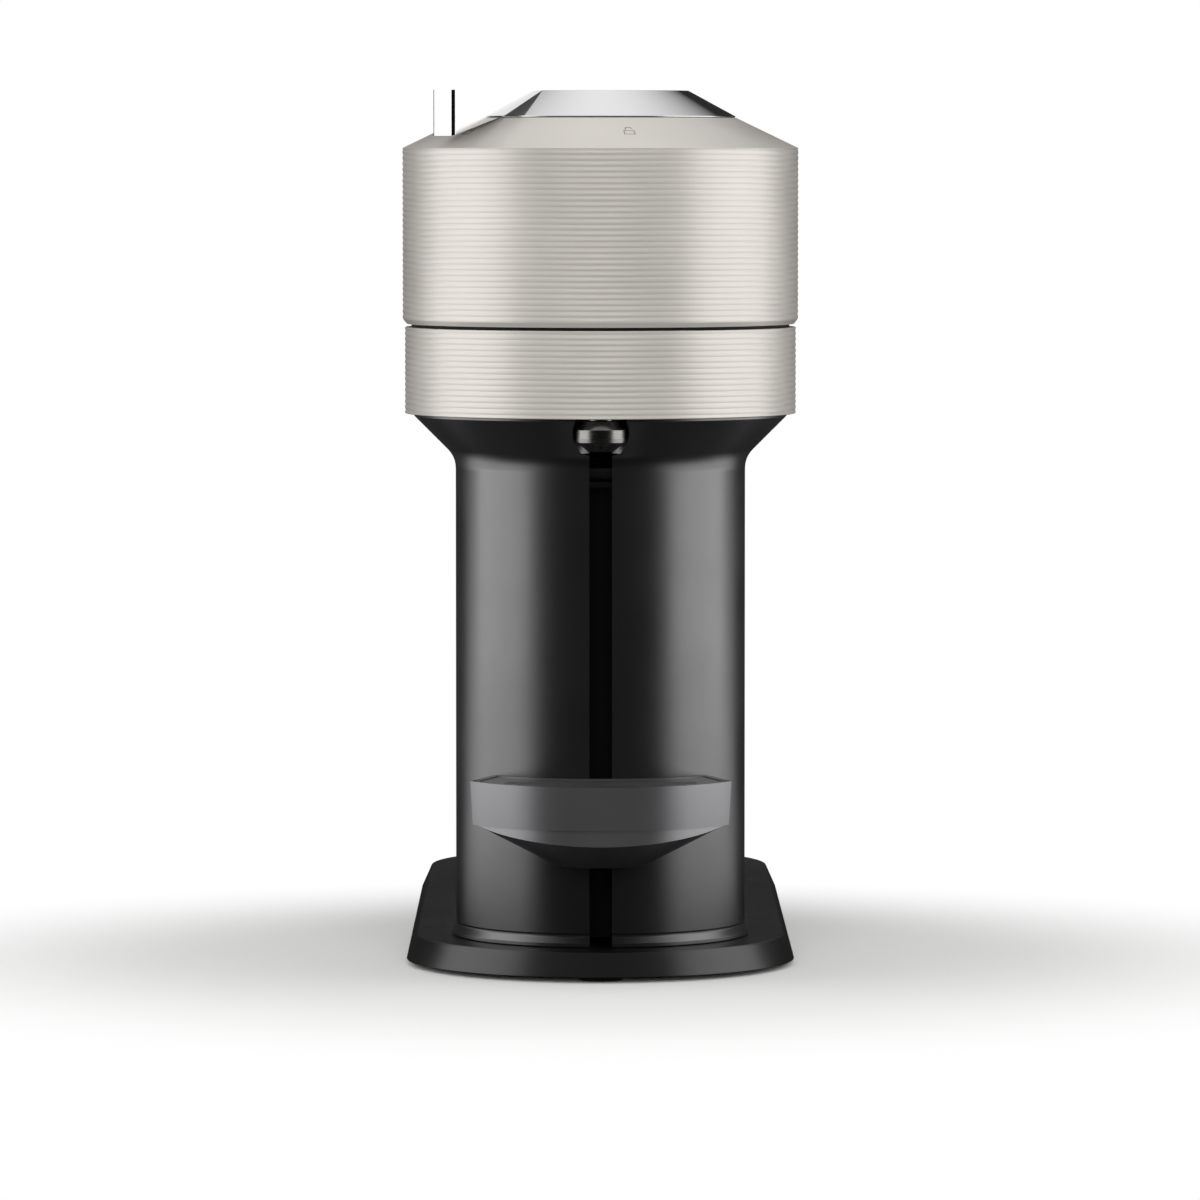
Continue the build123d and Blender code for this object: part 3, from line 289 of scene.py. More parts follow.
def bar_faces(count):
    """The sides and ends of a bar whose two ends have so many points each."""
    sides = [(i, (i + 1) % count, count + (i + 1) % count, count + i) for i in range(count)]
    return [*sides, tuple(range(count)), tuple(range(count, 2 * count))]


def level_rod(name, radius, near, far, up, steps=48):
    """A round bar that lies along Y."""
    spokes = [(radius * cos(2 * pi * i / steps), radius * sin(2 * pi * i / steps))
              for i in range(steps)]
    points = [(x, y, up + z) for y in (near, far) for x, z in spokes]
    return mesh_object(name, points, bar_faces(steps))


box_faces = ((0, 1, 3, 2), (4, 6, 7, 5), (0, 4, 5, 1), (2, 3, 7, 6), (0, 2, 6, 4), (1, 5, 7, 3))


def block(name, low, high):
    """A box between two corners."""
    points = [(x, y, z) for x in (low[0], high[0]) for y in (low[1], high[1])
              for z in (low[2], high[2])]
    return mesh_object(name, points, box_faces)


def apply_modifiers(piece):
    """The piece as a plain mesh, with its modifiers worked in and taken off."""
    made = bpy.data.meshes.new_from_object(
        piece.evaluated_get(bpy.context.evaluated_depsgraph_get()))
    piece.modifiers.clear()
    piece.data = made
    return piece


def combine(piece, *tools, operation="DIFFERENCE"):
    """Cuts the tools from the piece, or joins or crosses it with them, and deletes them."""
    for tool in tools:
        joint = piece.modifiers.new("combine", "BOOLEAN")
        joint.operation = operation
        joint.solver = "EXACT"
        joint.object = tool
    apply_modifiers(piece)
    for tool in tools:
        bpy.data.objects.remove(tool)
    return piece


def ease(piece, width, corner=30):
    """Rounds every edge sharper than a corner angle."""
    edge = piece.modifiers.new("ease", "BEVEL")
    edge.width = width * mm
    edge.segments = 2
    edge.limit_method = "ANGLE"
    edge.angle_limit = radians(corner)
    edge.miter_outer = "MITER_ARC"
    return apply_modifiers(piece)


def fit(piece, finish, body, slot, *nodes, sharp=32):
    """Shades the piece smooth up to a corner angle, and hangs it on its body."""
    piece.data.materials.clear()
    piece.data.materials.append(finish)
    for face in piece.data.polygons:
        face.use_smooth = True
        face.material_index = 0
    piece.data.set_sharp_from_angle(angle=radians(sharp))
    weigh = piece.modifiers.new("weigh_normals", "WEIGHTED_NORMAL")
    weigh.keep_sharp = True
    apply_modifiers(piece)
    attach(piece, body)
    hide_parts(*nodes)
    return piece


base_low, base_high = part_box("base_plate")
base_foot = base_low.z / mm
base_top = base_high.z / mm
base_radius = base_high.x / mm
tank_back = base_high.y / mm - axis_y / mm - base_radius
base_lean = 4.0
base_skin = 2.4
base_wall = 2.5
matt_black = moulded("matt_black_abs", "0B0B0C", 0.3, 0.6, 0.008, IOR=1.6)
base = turned("eased_base", rounded([
    (0, base_top - base_skin, 0), (base_radius - base_lean - 1.4, base_top - base_skin, 0),
    (base_radius - base_wall, base_foot, 0), (base_radius, base_foot, 0.4),
    (base_radius - base_lean, base_top, 0.9), (0, base_top, 0)]), back=tank_back)
cut_low = base_top - 4
cut_high = base_top + 1
opening_radius = 18
opening_front = 60
opening_back = 148
hose_hole_radius = 3.2
socket_back = tank_back - 28
meter_back = 185.0
gland_radius = 4.0
gland_level = 13.0
gland_front = tank_back + 43.3
well = rod("body_opening", opening_radius, cut_low, cut_high, opening_front, opening_back)
holes = [rod("hose_hole", hose_hole_radius, cut_low, cut_high, y)
         for y in (socket_back, meter_back)]
channel = level_rod(
    "gland_channel", gland_radius, gland_front, tank_back + base_radius + 5, gland_level)
combine(base, well, *holes, channel)
fit(base, matt_black, "base", "base_black", "base_plate")

rubber = moulded("black_tpe_rubber", "121212", 0.75, 0.5, 0.05)
dress(matt_black, "bottom_cover")
dress(rubber, "rubber_feet", "cable_gland")

# ---------------------------------------------------------------- column
# A round column with a groove down its front and a neck that flares under the head, moulded in
# one piece from satin black ABS. The spout hangs in a pocket cut up into the neck.
column_low, column_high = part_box("column_shell")
column_foot = column_low.z / mm
neck_top = column_high.z / mm
neck_radius = column_high.x / mm
column_radius = 52.0
column_wall = 2.5
ring_radius = column_radius + 1.4
neck_foot = neck_top - 0.7
neck_corner = neck_foot - (neck_radius - column_radius)
bend = 10.0
spout_front = -62.0
satin_black = moulded("satin_black_abs", "0F0F10", 0.3, 0.5, 0.01, IOR=1.62,
                      **{"Specular IOR Level": 1.0})
outer_line = [
    (ring_radius, column_foot, 0.3), (ring_radius, column_foot + 1.4, 0.5),
    (column_radius, column_foot + 3.6, 1.0), (column_radius, column_foot + 4.2, 0),
    (column_radius - 0.5, column_foot + 4.5, 0), (column_radius, column_foot + 4.8, 0),
    (column_radius, neck_corner, bend), (neck_radius, neck_foot, 0.3), (neck_radius, neck_top, 0)]
column = turned("grooved_column", rounded([
    (column_radius - column_wall, column_foot, 0), *outer_line,
    (neck_radius - column_wall, neck_top, 0), (neck_radius - column_wall, neck_foot, 0),
    (column_radius - column_wall, neck_corner, bend)]))


pocket_radius = 9.9
pocket_point = 180
pocket_floor = 186
pocket_wall = 1.6


def pocket(name, extra, top):
    """The spout's round pocket with a pointed floor, or the skin round it."""
    radius = pocket_radius + extra
    return turned(name, [
        (0, pocket_point), (1 + extra, pocket_point), (radius, pocket_floor), (radius, top),
        (0, top)], spout_front, steps=96)


inside_wall = column_wall / 2
core = turned("neck_core", [
    (0, column_foot), (column_radius - inside_wall, column_foot),
    (column_radius - inside_wall, neck_corner), (neck_radius - inside_wall, neck_foot),
    (neck_radius - inside_wall, neck_top), (0, neck_top)])
above_neck = neck_top + 1
skin_of_pocket = combine(
    core, pocket("pocket_skin", pocket_wall, above_neck), operation="INTERSECT")
combine(column, skin_of_pocket, operation="UNION")
groove_half = 4.0
groove_floor = -41.5
groove_top = 187
window_half = 38
window_back = 104
window_foot = column_foot + 2.8
combine(column, pocket("spout_pocket", 0, above_neck),
        block("groove", (-groove_half, -80, 0), (groove_half, groove_floor, groove_top)),
        block("back_window", (-window_half, 0, window_foot),
              (window_half, window_back, above_neck)))
fit(column, satin_black, "base", "satin_black", "column_shell")
# A near-black nylon, darker than the column's satin black, as painted shade for the dark inside
# the groove. The deck and base under the head use it too.
shadow_black = moulded("black_nylon_darkened_as_painted_shade", "070707", 0.6, 0.6, 0.05)
dress(shadow_black, "groove_rail")

# ---------------------------------------------------------------- spout
# A turned zinc nozzle with a satin nickel plate, pushed up over the collector's outlet. Turning
# leaves fine rings round it.
def worked_metal(name, colour, roughness, stretch):
    """A machined or pressed metal, with fine lines along one way."""
    made, tree = new_material(name)
    place = add(tree, "ShaderNodeTexCoord")
    lines = add(tree, "ShaderNodeMapping", {
        "Vector": (place, "Object"), "Scale": tuple(s / mm for s in stretch)})
    grain = add(tree, "ShaderNodeTexNoise", {"Vector": (lines, 0), "Scale": 1.0, "Detail": 5.0})
    dent = add(tree, "ShaderNodeBump", {
        "Height": (grain, 0), "Strength": 0.2, "Distance": 0.02 * mm})
    gloss = add(tree, "ShaderNodeMapRange", {
        "Value": (grain, 0), "From Min": 0.3, "From Max": 0.7, "To Min": roughness - 0.04,
        "To Max": roughness + 0.06})
    show(tree, add(tree, "ShaderNodeBsdfPrincipled", {
        "Base Color": linear(colour), "Metallic": 1.0, "Roughness": (gloss, 0),
        "Normal": (dent, 0)}))
    return made


satin_nickel = worked_metal("satin_nickel_plated_zinc", "7C7B78", 0.26, (0.2, 0.2, 5.0))
spout = turned("turned_spout", rounded([
    (2.6, 187, 0), (4.5, 187, 0.3), (8.5, 190.2, 0.4), (8.7, 191.7, 0.3), (8.7, 194.7, 0.4),
    (6.3, 197.6, 0.3), (5.2, 198, 0), (5.2, 200.7, 0), (2.6, 200.7, 0)]), spout_front, steps=96)
fit(spout, satin_nickel, "base", "spout_metal", "spout")

# ---------------------------------------------------------------- drive
# A brushless motor on a steel plate in the top of the column spins the capsule holder, which
# sits on its shaft. Turned and pressed steel, and four pan-head screws.
turned_steel = worked_metal("turned_steel", "B4B4B6", 0.3, (0.4, 0.4, 4.0))
dress(turned_steel, "motor_mount", "screws", "motor_housing", "motor_bearings", "motor_rotor")
lamination = moulded("varnished_steel_laminations", "4B4038", 0.35, 0.5, 0.03)
dress(lamination, "stator")
dress(rubber, "seals")
polypropylene = moulded("black_polypropylene", "18181A", 0.5, 0.5, 0.03)
dress(polypropylene, "capsule_holder")

# ---------------------------------------------------------------- brewing chamber
# Black polypropylene bowls and covers catch the coffee that flies off the capsule's edge and
# lead it to the spout. A sensor on a lacquered board reads the code round the capsule's rim.
circuit_board = moulded("lacquered_circuit_board", "17602F", 0.35, 0.8, 0.03)
dress(polypropylene, "collector", "ejector_fork")
# The deck gets the darker nylon black, as painted shade under the head.
dress(shadow_black, "chamber_deck")
dress(satin_black, "capsule_chute")
dress(circuit_board, "barcode_reader")

# ---------------------------------------------------------------- lower band
# The fixed half of the head, in ABS with a satin warm grey metallic paint. Fine rounded ribs run
# round it like a stack of thin discs. Its back is open, where used capsules slide out.
warm_grey = moulded("satin_warm_grey_painted_abs", "C6C1BB", 0.34, 0.6, 0.004, Metallic=0.35)
rib_tree = bpy.data.node_groups.new("ribs_round_a_wall", "GeometryNodeTree")
face = rib_tree.interface
face.new_socket("Geometry", in_out="INPUT", socket_type="NodeSocketGeometry")
for label in ("Axis Y", "Wall Radius", "Foot", "Pitch", "Count", "Depth"):
    face.new_socket(label, in_out="INPUT", socket_type="NodeSocketFloat")
face.new_socket("Material", in_out="INPUT", socket_type="NodeSocketMaterial")
face.new_socket("Geometry", in_out="OUTPUT", socket_type="NodeSocketGeometry")
given = add(rib_tree, "NodeGroupInput")
spot = add(rib_tree, "ShaderNodeSeparateXYZ", {
    0: (add(rib_tree, "GeometryNodeInputPosition"), 0)})
back = add(rib_tree, "ShaderNodeMath", {0: (spot, "Y"), 1: (given, "Axis Y")},
           operation="SUBTRACT")
flat_x = add(rib_tree, "ShaderNodeMath", {0: (spot, "X"), 1: 2.0}, operation="POWER")
flat_y = add(rib_tree, "ShaderNodeMath", {0: (back, 0), 1: 2.0}, operation="POWER")
flat = add(rib_tree, "ShaderNodeMath", {0: (flat_x, 0), 1: (flat_y, 0)}, operation="ADD")
reach = add(rib_tree, "ShaderNodeMath", {0: (flat, 0)}, operation="SQRT")
rise = add(rib_tree, "ShaderNodeMath", {0: (spot, "Z"), 1: (given, "Foot")},
           operation="SUBTRACT")
turn = add(rib_tree, "ShaderNodeMath", {0: (rise, 0), 1: (given, "Pitch")}, operation="DIVIDE")
swing = add(rib_tree, "ShaderNodeMath", {0: (turn, 0), 1: pi}, operation="MULTIPLY")
wave = add(rib_tree, "ShaderNodeMath", {0: (swing, 0)}, operation="SINE")
lobe = add(rib_tree, "ShaderNodeMath", {0: (wave, 0)}, operation="ABSOLUTE")
dip = add(rib_tree, "ShaderNodeMath", {0: 1.0, 1: (lobe, 0)}, operation="SUBTRACT")
groove = add(rib_tree, "ShaderNodeMath", {0: (dip, 0), 1: (given, "Depth")},
             operation="MULTIPLY")
last_rib = add(rib_tree, "ShaderNodeMath", {0: (given, "Count"), 1: 0.01}, operation="ADD")
above = add(rib_tree, "ShaderNodeMath", {0: (turn, 0), 1: -0.01}, operation="GREATER_THAN")
below = add(rib_tree, "ShaderNodeMath", {0: (turn, 0), 1: (last_rib, 0)},
            operation="LESS_THAN")
outside = add(rib_tree, "ShaderNodeMath", {0: (reach, 0), 1: (given, "Wall Radius")},
              operation="GREATER_THAN")
between = add(rib_tree, "ShaderNodeMath", {0: (above, 0), 1: (below, 0)}, operation="MULTIPLY")
on_wall = add(rib_tree, "ShaderNodeMath", {0: (between, 0), 1: (outside, 0)},
              operation="MULTIPLY")
cut = add(rib_tree, "ShaderNodeMath", {0: (groove, 0), 1: (on_wall, 0)}, operation="MULTIPLY")
to_axis = add(rib_tree, "ShaderNodeMath", {0: (reach, 0), 1: -1.0}, operation="MULTIPLY")
inward = add(rib_tree, "ShaderNodeMath", {0: (cut, 0), 1: (to_axis, 0)}, operation="DIVIDE")
shift_x = add(rib_tree, "ShaderNodeMath", {0: (spot, "X"), 1: (inward, 0)},
              operation="MULTIPLY")
shift_y = add(rib_tree, "ShaderNodeMath", {0: (back, 0), 1: (inward, 0)}, operation="MULTIPLY")
shift = add(rib_tree, "ShaderNodeCombineXYZ", {"X": (shift_x, 0), "Y": (shift_y, 0)})
moved = add(rib_tree, "GeometryNodeSetPosition", {
    "Geometry": (given, "Geometry"), "Offset": (shift, 0)})
real = add(rib_tree, "GeometryNodeRealizeInstances", {"Geometry": (moved, 0)})
dressed = add(rib_tree, "GeometryNodeSetMaterial", {
    "Geometry": (real, 0), "Material": (given, "Material")})
add(rib_tree, "NodeGroupOutput", {"Geometry": (dressed, 0)})


def ribbed(piece, **values):
    """Works the ribs into a turned wall. Values are by socket name, in metres."""
    rib = piece.modifiers.new("ribs", "NODES")
    rib.node_group = rib_tree
    sockets = {s.name: s.identifier for s in rib_tree.interface.items_tree if s.in_out == "INPUT"}
    rib[sockets["Material"]] = warm_grey
    for label, value in values.items():
        rib[sockets[label.replace("_", " ")]] = value
    return apply_modifiers(piece)


rib_pitch = 2.03
rib_depth = 0.27
rib_rows = 8


def wall_rows(foot, count, radius):
    """The points up a wall that its ribs need: a few rows to each rib."""
    rows = range(count * rib_rows + 1)
    return [(radius, foot + rib_pitch * row / rib_rows, 0) for row in rows]


band_low, band_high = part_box("lower_band")
band_foot = band_low.z / mm
band_top = band_high.z / mm
band_radius = band_high.x / mm
band_ribs = 14
band_wall = 2.5
band_hole = 46
ribs_from = band_foot + (band_top - band_foot - band_ribs * rib_pitch) / 2
band = turned("ribbed_band", rounded([
    (band_hole, band_foot, 0), (band_radius, band_foot, 0.5),
    *wall_rows(ribs_from, band_ribs, band_radius),
    (band_radius, band_top, 0.5), (band_radius - band_wall, band_top, 0.3),
    (band_radius - band_wall, band_foot + 2, 0), (band_hole, band_foot + 2, 0)]))
ribbed(band, Axis_Y=axis_y, Wall_Radius=(band_radius - 1) * mm, Foot=ribs_from * mm,
       Pitch=rib_pitch * mm, Count=float(band_ribs), Depth=rib_depth * mm)
chute_half = 36.5
chute_floor = band_foot + 3.5
behind_head = 76
combine(band, block(
    "chute_cut", (-chute_half, 0, chute_floor), (chute_half, behind_head, band_top + 1)))
fit(band, warm_grey, "base", "warm_grey", "lower_band")

# ---------------------------------------------------------------- rear body
# Satin black ABS housings over the pump and boards, and a hood over the capsule chute. Their
# edges are eased as a mould leaves them.
def eased(name, node, finish, body, slot, width=0.4, corner=35):
    """A piece with the shape of a CAD node, and its sharp edges rounded."""
    piece = bpy.data.objects.new(name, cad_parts[node].data.copy())
    bpy.context.scene.collection.objects.link(piece)
    work = bmesh.new()
    work.from_mesh(piece.data)
    bmesh.ops.remove_doubles(work, verts=work.verts, dist=0.002 * mm)
    bmesh.ops.dissolve_limit(
        work, angle_limit=radians(0.5), verts=work.verts, edges=work.edges)
    work.to_mesh(piece.data)
    work.free()
    ease(piece, width, corner)
    return fit(piece, finish, body, slot, node)


eased("eased_body", "body_shell", satin_black, "base", "satin_black")
eased("eased_hood", "bridge_cover", satin_black, "base", "satin_black", 0.8)
blackened_steel = worked_metal("blackened_steel", "2A2A2C", 0.4, (0.8, 0.8, 0.8))
dress(blackened_steel, "hinge_bracket", "hinge_pins", "lift_spring")

# ---------------------------------------------------------------- capsule container
# A black polypropylene bin for used capsules under a satin black lid with a finger grip. Both
# lift straight out of the rear body.
eased("eased_container", "capsule_container", polypropylene, "container", "container_black")
eased("eased_container_lid", "container_cover", satin_black, "container", "satin_black")

# ---------------------------------------------------------------- water path and boards
# A pump with its coil, a flow meter, a cast aluminium heater and a control board, joined by
# frosted silicone hoses.
cast_alloy = worked_metal("cast_aluminium", "B9BBBE", 0.5, (1.2, 1.2, 1.2))
white_pom = moulded("white_pom", "E4E4DE", 0.4, 0.4, 0.02)
silicone = moulded("frosted_silicone", "C9CCCC", 0.45, 0.6, 0.02)
dress(turned_steel, "pump")
dress(white_pom, "flow_meter")
dress(cast_alloy, "thermoblock")
dress(circuit_board, "control_board")
dress(silicone, "hoses", "head_hose")

# ---------------------------------------------------------------- upper head
# The opening half: a ribbed wall, a smooth cone and a ledge that the locking cap turns on, moulded
# in one piece, with two slots at the back for its hinge arms.
head_foot = head_low.z / mm
head_radius = head_high.x / mm
cone_foot = 293.5
cap_foot_radius = 48.5
head_ribs = 30
chamfer = 1.5
head_wall = 2.5
collar_inner = 38.2
collar_outer = 40.7
collar_depth = 14
ledge_edge = 47.5
ledge_thickness = 2.4
ribs_from = head_foot + chamfer + 0.05
cone_top = head_high.z / mm
ledge = cone_top - 1.0
head = turned("ribbed_head", rounded([
    (head_radius - head_wall, head_foot, 0), (head_radius - chamfer, head_foot, 0.3),
    *wall_rows(ribs_from, head_ribs, head_radius),
    (head_radius, cone_foot, 0.4), (cap_foot_radius, cone_top, 0.25),
    (cap_foot_radius, ledge, 0), (collar_inner, ledge, 0), (collar_inner, ledge - collar_depth, 0),
    (collar_outer, ledge - collar_depth, 0), (collar_outer, ledge - ledge_thickness, 0),
    (ledge_edge, ledge - ledge_thickness, 0), (head_radius - head_wall, cone_foot - 1.6, 0)]))
ribbed(head, Axis_Y=axis_y, Wall_Radius=(head_radius - 1) * mm, Foot=ribs_from * mm,
       Pitch=rib_pitch * mm, Count=float(head_ribs), Depth=rib_depth * mm)
arm_inner = 30.4
arm_outer = 38.2
arm_front = 30
arm_rise = 12.4
combine(head, *[
    block("arm_slot", (x0, arm_front, head_foot - 1), (x1, behind_head, head_foot + arm_rise))
    for x0, x1 in ((-arm_outer, -arm_inner), (arm_inner, arm_outer))])
fit(head, warm_grey, "head", "warm_grey", "head_shell")

# A black rubber lip under the head's edge closes the joint between the head and the band.
lip_inner = 66.5
lip_outer = 67.8
lip_foot = head_foot - 0.95
lip_top = head_foot + 0.45
lip = turned("head_lip_seal", rounded([
    (lip_inner, lip_foot, 0.2), (lip_outer, lip_foot, 0.2), (lip_outer, lip_top, 0),
    (lip_inner, lip_top, 0)]))
fit(lip, rubber, "head", "rubber")
# The head's base gets the darker nylon black, as painted shade inside the head.
dress(shadow_black, "head_base")
dress(blackened_steel, "hinge_arms")
dress(turned_steel, "clamp_bearing", "piercing_needle")
dress(polypropylene, "clamp_housing", "water_swivel", "button_housing", "clamp_plate",
      "lock_ring")
dress(rubber, "clamp_seal")

# ---------------------------------------------------------------- lock marks
# Two small padlocks, one open and one shut, pad printed in grey-brown ink on the cone to show
# which way the lever turns.
ink = moulded("grey_brown_pad_print", "7C766B", 0.5, 0.2, 0.005)
cone_run = head_radius - cap_foot_radius
cone_rise = cone_top - cone_foot
cone_length = sqrt(cone_run ** 2 + cone_rise ** 2)


def padlock(name, turn, lift):
    """A padlock of thin printed lines. The lift opens its shackle."""
    line = 0.32
    ink_thickness = 0.06
    half = 1.8
    foot = -2.6
    brow = 0.2
    bow = 1.1
    body_line = [(-half, foot), (half, foot), (half, brow), (-half, brow), (-half, foot)]
    arch = [(-bow * cos(pi * i / 12), 0.9 + lift + bow * sin(pi * i / 12)) for i in range(13)]
    shackle = [(-bow, brow), *arch] + ([] if lift else [(bow, brow)])
    points = []
    faces = []
    for path in (body_line, shackle):
        for (u0, v0), (u1, v1) in zip(path, path[1:]):
            along = Vector((u1 - u0, v1 - v0)).normalized() * line / 2
            across = Vector((-along.y, along.x))
            first = len(points)
            for height in (0.0, ink_thickness):
                for u, v, way in ((u0, v0, -1), (u1, v1, 1)):
                    for side in (-1, 1):
                        spot = Vector((u, v)) + along * way + across * side
                        points.append((spot.x, spot.y, height))
            faces += [tuple(first + i for i in quad) for quad in box_faces]
    way_up = 0.55
    middle_radius = head_radius - cone_run * way_up
    middle_up = cone_foot + cone_rise * way_up
    placed = []
    for u, v, height in points:
        radius = middle_radius - v * cone_run / cone_length + height * cone_rise / cone_length
        up = middle_up + v * cone_rise / cone_length + (height - 0.02) * cone_run / cone_length
        angle = radians(turn) + u / middle_radius
        placed.append((radius * sin(angle), -radius * cos(angle), up))
    return mesh_object(name, placed, faces)


for name, turn, lift in (("open_padlock", 9.7, 0.9), ("shut_padlock", -52, 0.0)):
    fit(padlock(name, turn, lift), ink, "head", "warm_grey")

# ---------------------------------------------------------------- lever cap
# A conical cap with a blade for a lever, one chrome-plated ABS moulding. It turns on the head's
# ledge to lock it. The plate is a mirror with a faint swell that comes from the moulding.
chrome = worked_metal("chrome_plated_abs", "D0D0D0", 0.06, (0.05, 0.05, 0.05))
cap_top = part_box("lever_cap")[1].z / mm
cap_foot = 304.8
flat_radius = 31.6
button_hole = 18.3
cap_wall = 2.2
sleeve_outer = 37.9
sleeve_inner = 35.4
sleeve_foot = 288
rim_foot = cap_foot - 0.8
cap = turned("chromed_cap", rounded([
    (button_hole, cap_top, 0.3), (flat_radius, cap_top, 0.4), (cap_foot_radius, cap_foot, 0.3),
    (cap_foot_radius - 0.4, rim_foot, 0), (sleeve_outer, rim_foot, 0),
    (sleeve_outer, sleeve_foot, 0), (sleeve_inner, sleeve_foot, 0),
    (sleeve_inner, cap_top - 4.6, 0), (flat_radius - 0.5, cap_top - cap_wall, 0),
    (button_hole, cap_top - cap_wall, 0)]))
lever_turn = radians(-52)
lever_reach = 71.0
lever_half = 6.0
tip_radius = 1.6
blade_foot = 297.8
across = Vector((cos(lever_turn), sin(lever_turn), 0))
along = Vector((sin(lever_turn), -cos(lever_turn), 0))


def drawn(name, outline, ends, way, run):
    """An outline drawn along a third direction, from one end to the other."""
    points = [run * a + way[0] * u + way[1] * v for a in ends for u, v in outline]
    return mesh_object(name, points, bar_faces(len(outline)))


up = Vector((0, 0, 1))
blade = drawn("lever_blade", [
    (28.6, cap_top), (28.6, cap_foot + 7.6), (cap_foot_radius, cap_foot),
    (lever_reach, blade_foot), (lever_reach, cap_top)], (-lever_half, lever_half),
    (along, up), across)
plan = drawn("blade_plan", rounded([
    (20, -lever_half, 0), (lever_reach, -lever_half, tip_radius),
    (lever_reach, lever_half, tip_radius), (20, lever_half, 0)], 8), (290, 320),
    (along, across), up)
combine(blade, plan, operation="INTERSECT")
combine(cap, blade, operation="UNION")
fit(cap, chrome, "lever", "chrome", "lever_cap")

# ---------------------------------------------------------------- start button
# A satin metallic button in a ring of frosted polycarbonate that lights up.
button_grey = moulded("satin_silver_painted_abs", "C9C9CB", 0.3, 0.3, 0.01, Metallic=0.7)
light_guide = moulded("frosted_polycarbonate", "E6E6E2", 0.5, 0.4, 0.02)
dress(button_grey, "start_button")
dress(light_guide, "light_ring")
dress(turned_steel, "button_spring")

# ---------------------------------------------------------------- cup support
# A shelf with a round front over a wedge, in satin anthracite ABS. It slides in the column's
# groove and holds a tray under a slotted grid.
anthracite = moulded("satin_anthracite_painted_abs", "848486", 0.3, 0.5, 0.01, Metallic=0.85)
support_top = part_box("cup_support")[1].z / mm
support_reach = -(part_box("cup_support")[0].y - axis_y) / mm
corner_x = 46.0
corner_y = 62.0
back_x = 38.0
column_gap = 0.4
bow = support_reach - corner_y
front_radius = (corner_x ** 2 + bow ** 2) / (2 * bow)
hug = column_radius + column_gap


def arc(radius, centre, start, end, steps):
    """Points round a centre on the Y axis, by angle from the front towards the right."""
    return [Vector((radius * sin(start + (end - start) * i / steps),
                    centre - radius * cos(start + (end - start) * i / steps)))
            for i in range(steps + 1)]


front_turn = asin(corner_x / front_radius)
back_turn = asin(back_x / hug)
support_plan = arc(front_radius, front_radius - support_reach, -front_turn, front_turn, 48)
support_plan += arc(hug, 0, back_turn, -back_turn, 40)


def set_in(outline, inset):
    """The outline with every side moved inwards."""
    moved = []
    for number, here in enumerate(outline):
        before = (here - outline[number - 1]).normalized()
        after = (outline[(number + 1) % len(outline)] - here).normalized()
        corner = Vector((-before.y - after.y, before.x + after.x))
        moved.append(here + corner * 2 * inset / corner.length_squared)
    return moved


def lofted(name, low, high, low_inset=0.0, high_inset=0.0):
    """The support's plan between two levels, set in by so much at each."""
    points = [(x, y, z) for inset, z in ((low_inset, low), (high_inset, high))
              for x, y in set_in(support_plan, inset)]
    return mesh_object(name, points, bar_faces(len(support_plan)))


face_height = 15.4
face_lean = radians(3)
face_foot = support_top - face_height
wedge_foot = face_foot - 14.6
wedge_foot_radius = 16
wedge_top = face_foot + 0.05
face_inset = face_height * tan(face_lean)
rim_wall = 2.6
tray_depth = 9
support = lofted("shelf_and_wedge", face_foot, support_top, face_inset)
wedge = turned("wedge", [
    (0, wedge_foot), (wedge_foot_radius, wedge_foot), (corner_x - 1.6, wedge_top),
    (0, wedge_top)], -(column_radius + 4))
combine(wedge, lofted("wedge_plan", wedge_foot - 1, support_top, 1.5, 1.5),
        operation="INTERSECT")
combine(support, wedge, operation="UNION")
combine(support, lofted(
    "tray_pocket", support_top - tray_depth, support_top + 1, rim_wall, rim_wall))
ease(support, 0.35, 40)
fit(support, anthracite, "support", "dark_support", "cup_support")
dress(anthracite, "groove_slider", "drip_tray")

# ---------------------------------------------------------------- drip grid
# A thin plate over the tray, in the same anthracite ABS, with rows of round-ended slots that let
# drips through.
slot_tree = bpy.data.node_groups.new("row_of_slots", "GeometryNodeTree")
face = slot_tree.interface
for label in ("First", "Step", "Turn"):
    face.new_socket(label, in_out="INPUT", socket_type="NodeSocketVector")
for label in ("Count", "Width", "Depth", "Round Radius", "Round Back", "Margin", "Longest"):
    face.new_socket(label, in_out="INPUT", socket_type="NodeSocketFloat")
face.new_socket("Material", in_out="INPUT", socket_type="NodeSocketMaterial")
face.new_socket("Geometry", in_out="OUTPUT", socket_type="NodeSocketGeometry")
given = add(slot_tree, "NodeGroupInput")
line = add(slot_tree, "GeometryNodeMeshLine", {
    "Count": (given, "Count"), "Start Location": (given, "First"), "Offset": (given, "Step")})
spot = add(slot_tree, "ShaderNodeSeparateXYZ", {
    0: (add(slot_tree, "GeometryNodeInputPosition"), 0)})
back = add(slot_tree, "ShaderNodeMath", {0: (spot, "Y"), 1: (given, "Round Back")},
           operation="SUBTRACT")
radius_square = add(slot_tree, "ShaderNodeMath", {0: (given, "Round Radius"), 1: 2.0},
                    operation="POWER")
back_square = add(slot_tree, "ShaderNodeMath", {0: (back, 0), 1: 2.0}, operation="POWER")
left = add(slot_tree, "ShaderNodeMath", {0: (radius_square, 0), 1: (back_square, 0)},
           operation="SUBTRACT")
at_least_none = add(slot_tree, "ShaderNodeMath", {0: 0.0, 1: (left, 0)}, operation="MAXIMUM")
chord = add(slot_tree, "ShaderNodeMath", {0: (at_least_none, 0)}, operation="SQRT")
inside = add(slot_tree, "ShaderNodeMath", {0: (chord, 0), 1: (given, "Margin")},
             operation="SUBTRACT")
reach = add(slot_tree, "ShaderNodeMath", {0: (inside, 0), 1: (given, "Longest")},
            operation="MINIMUM")
half_width = add(slot_tree, "ShaderNodeMath", {0: (given, "Width"), 1: 0.5},
                 operation="MULTIPLY")
straight_half = add(slot_tree, "ShaderNodeMath", {0: (reach, 0), 1: (half_width, 0)},
                    operation="SUBTRACT")
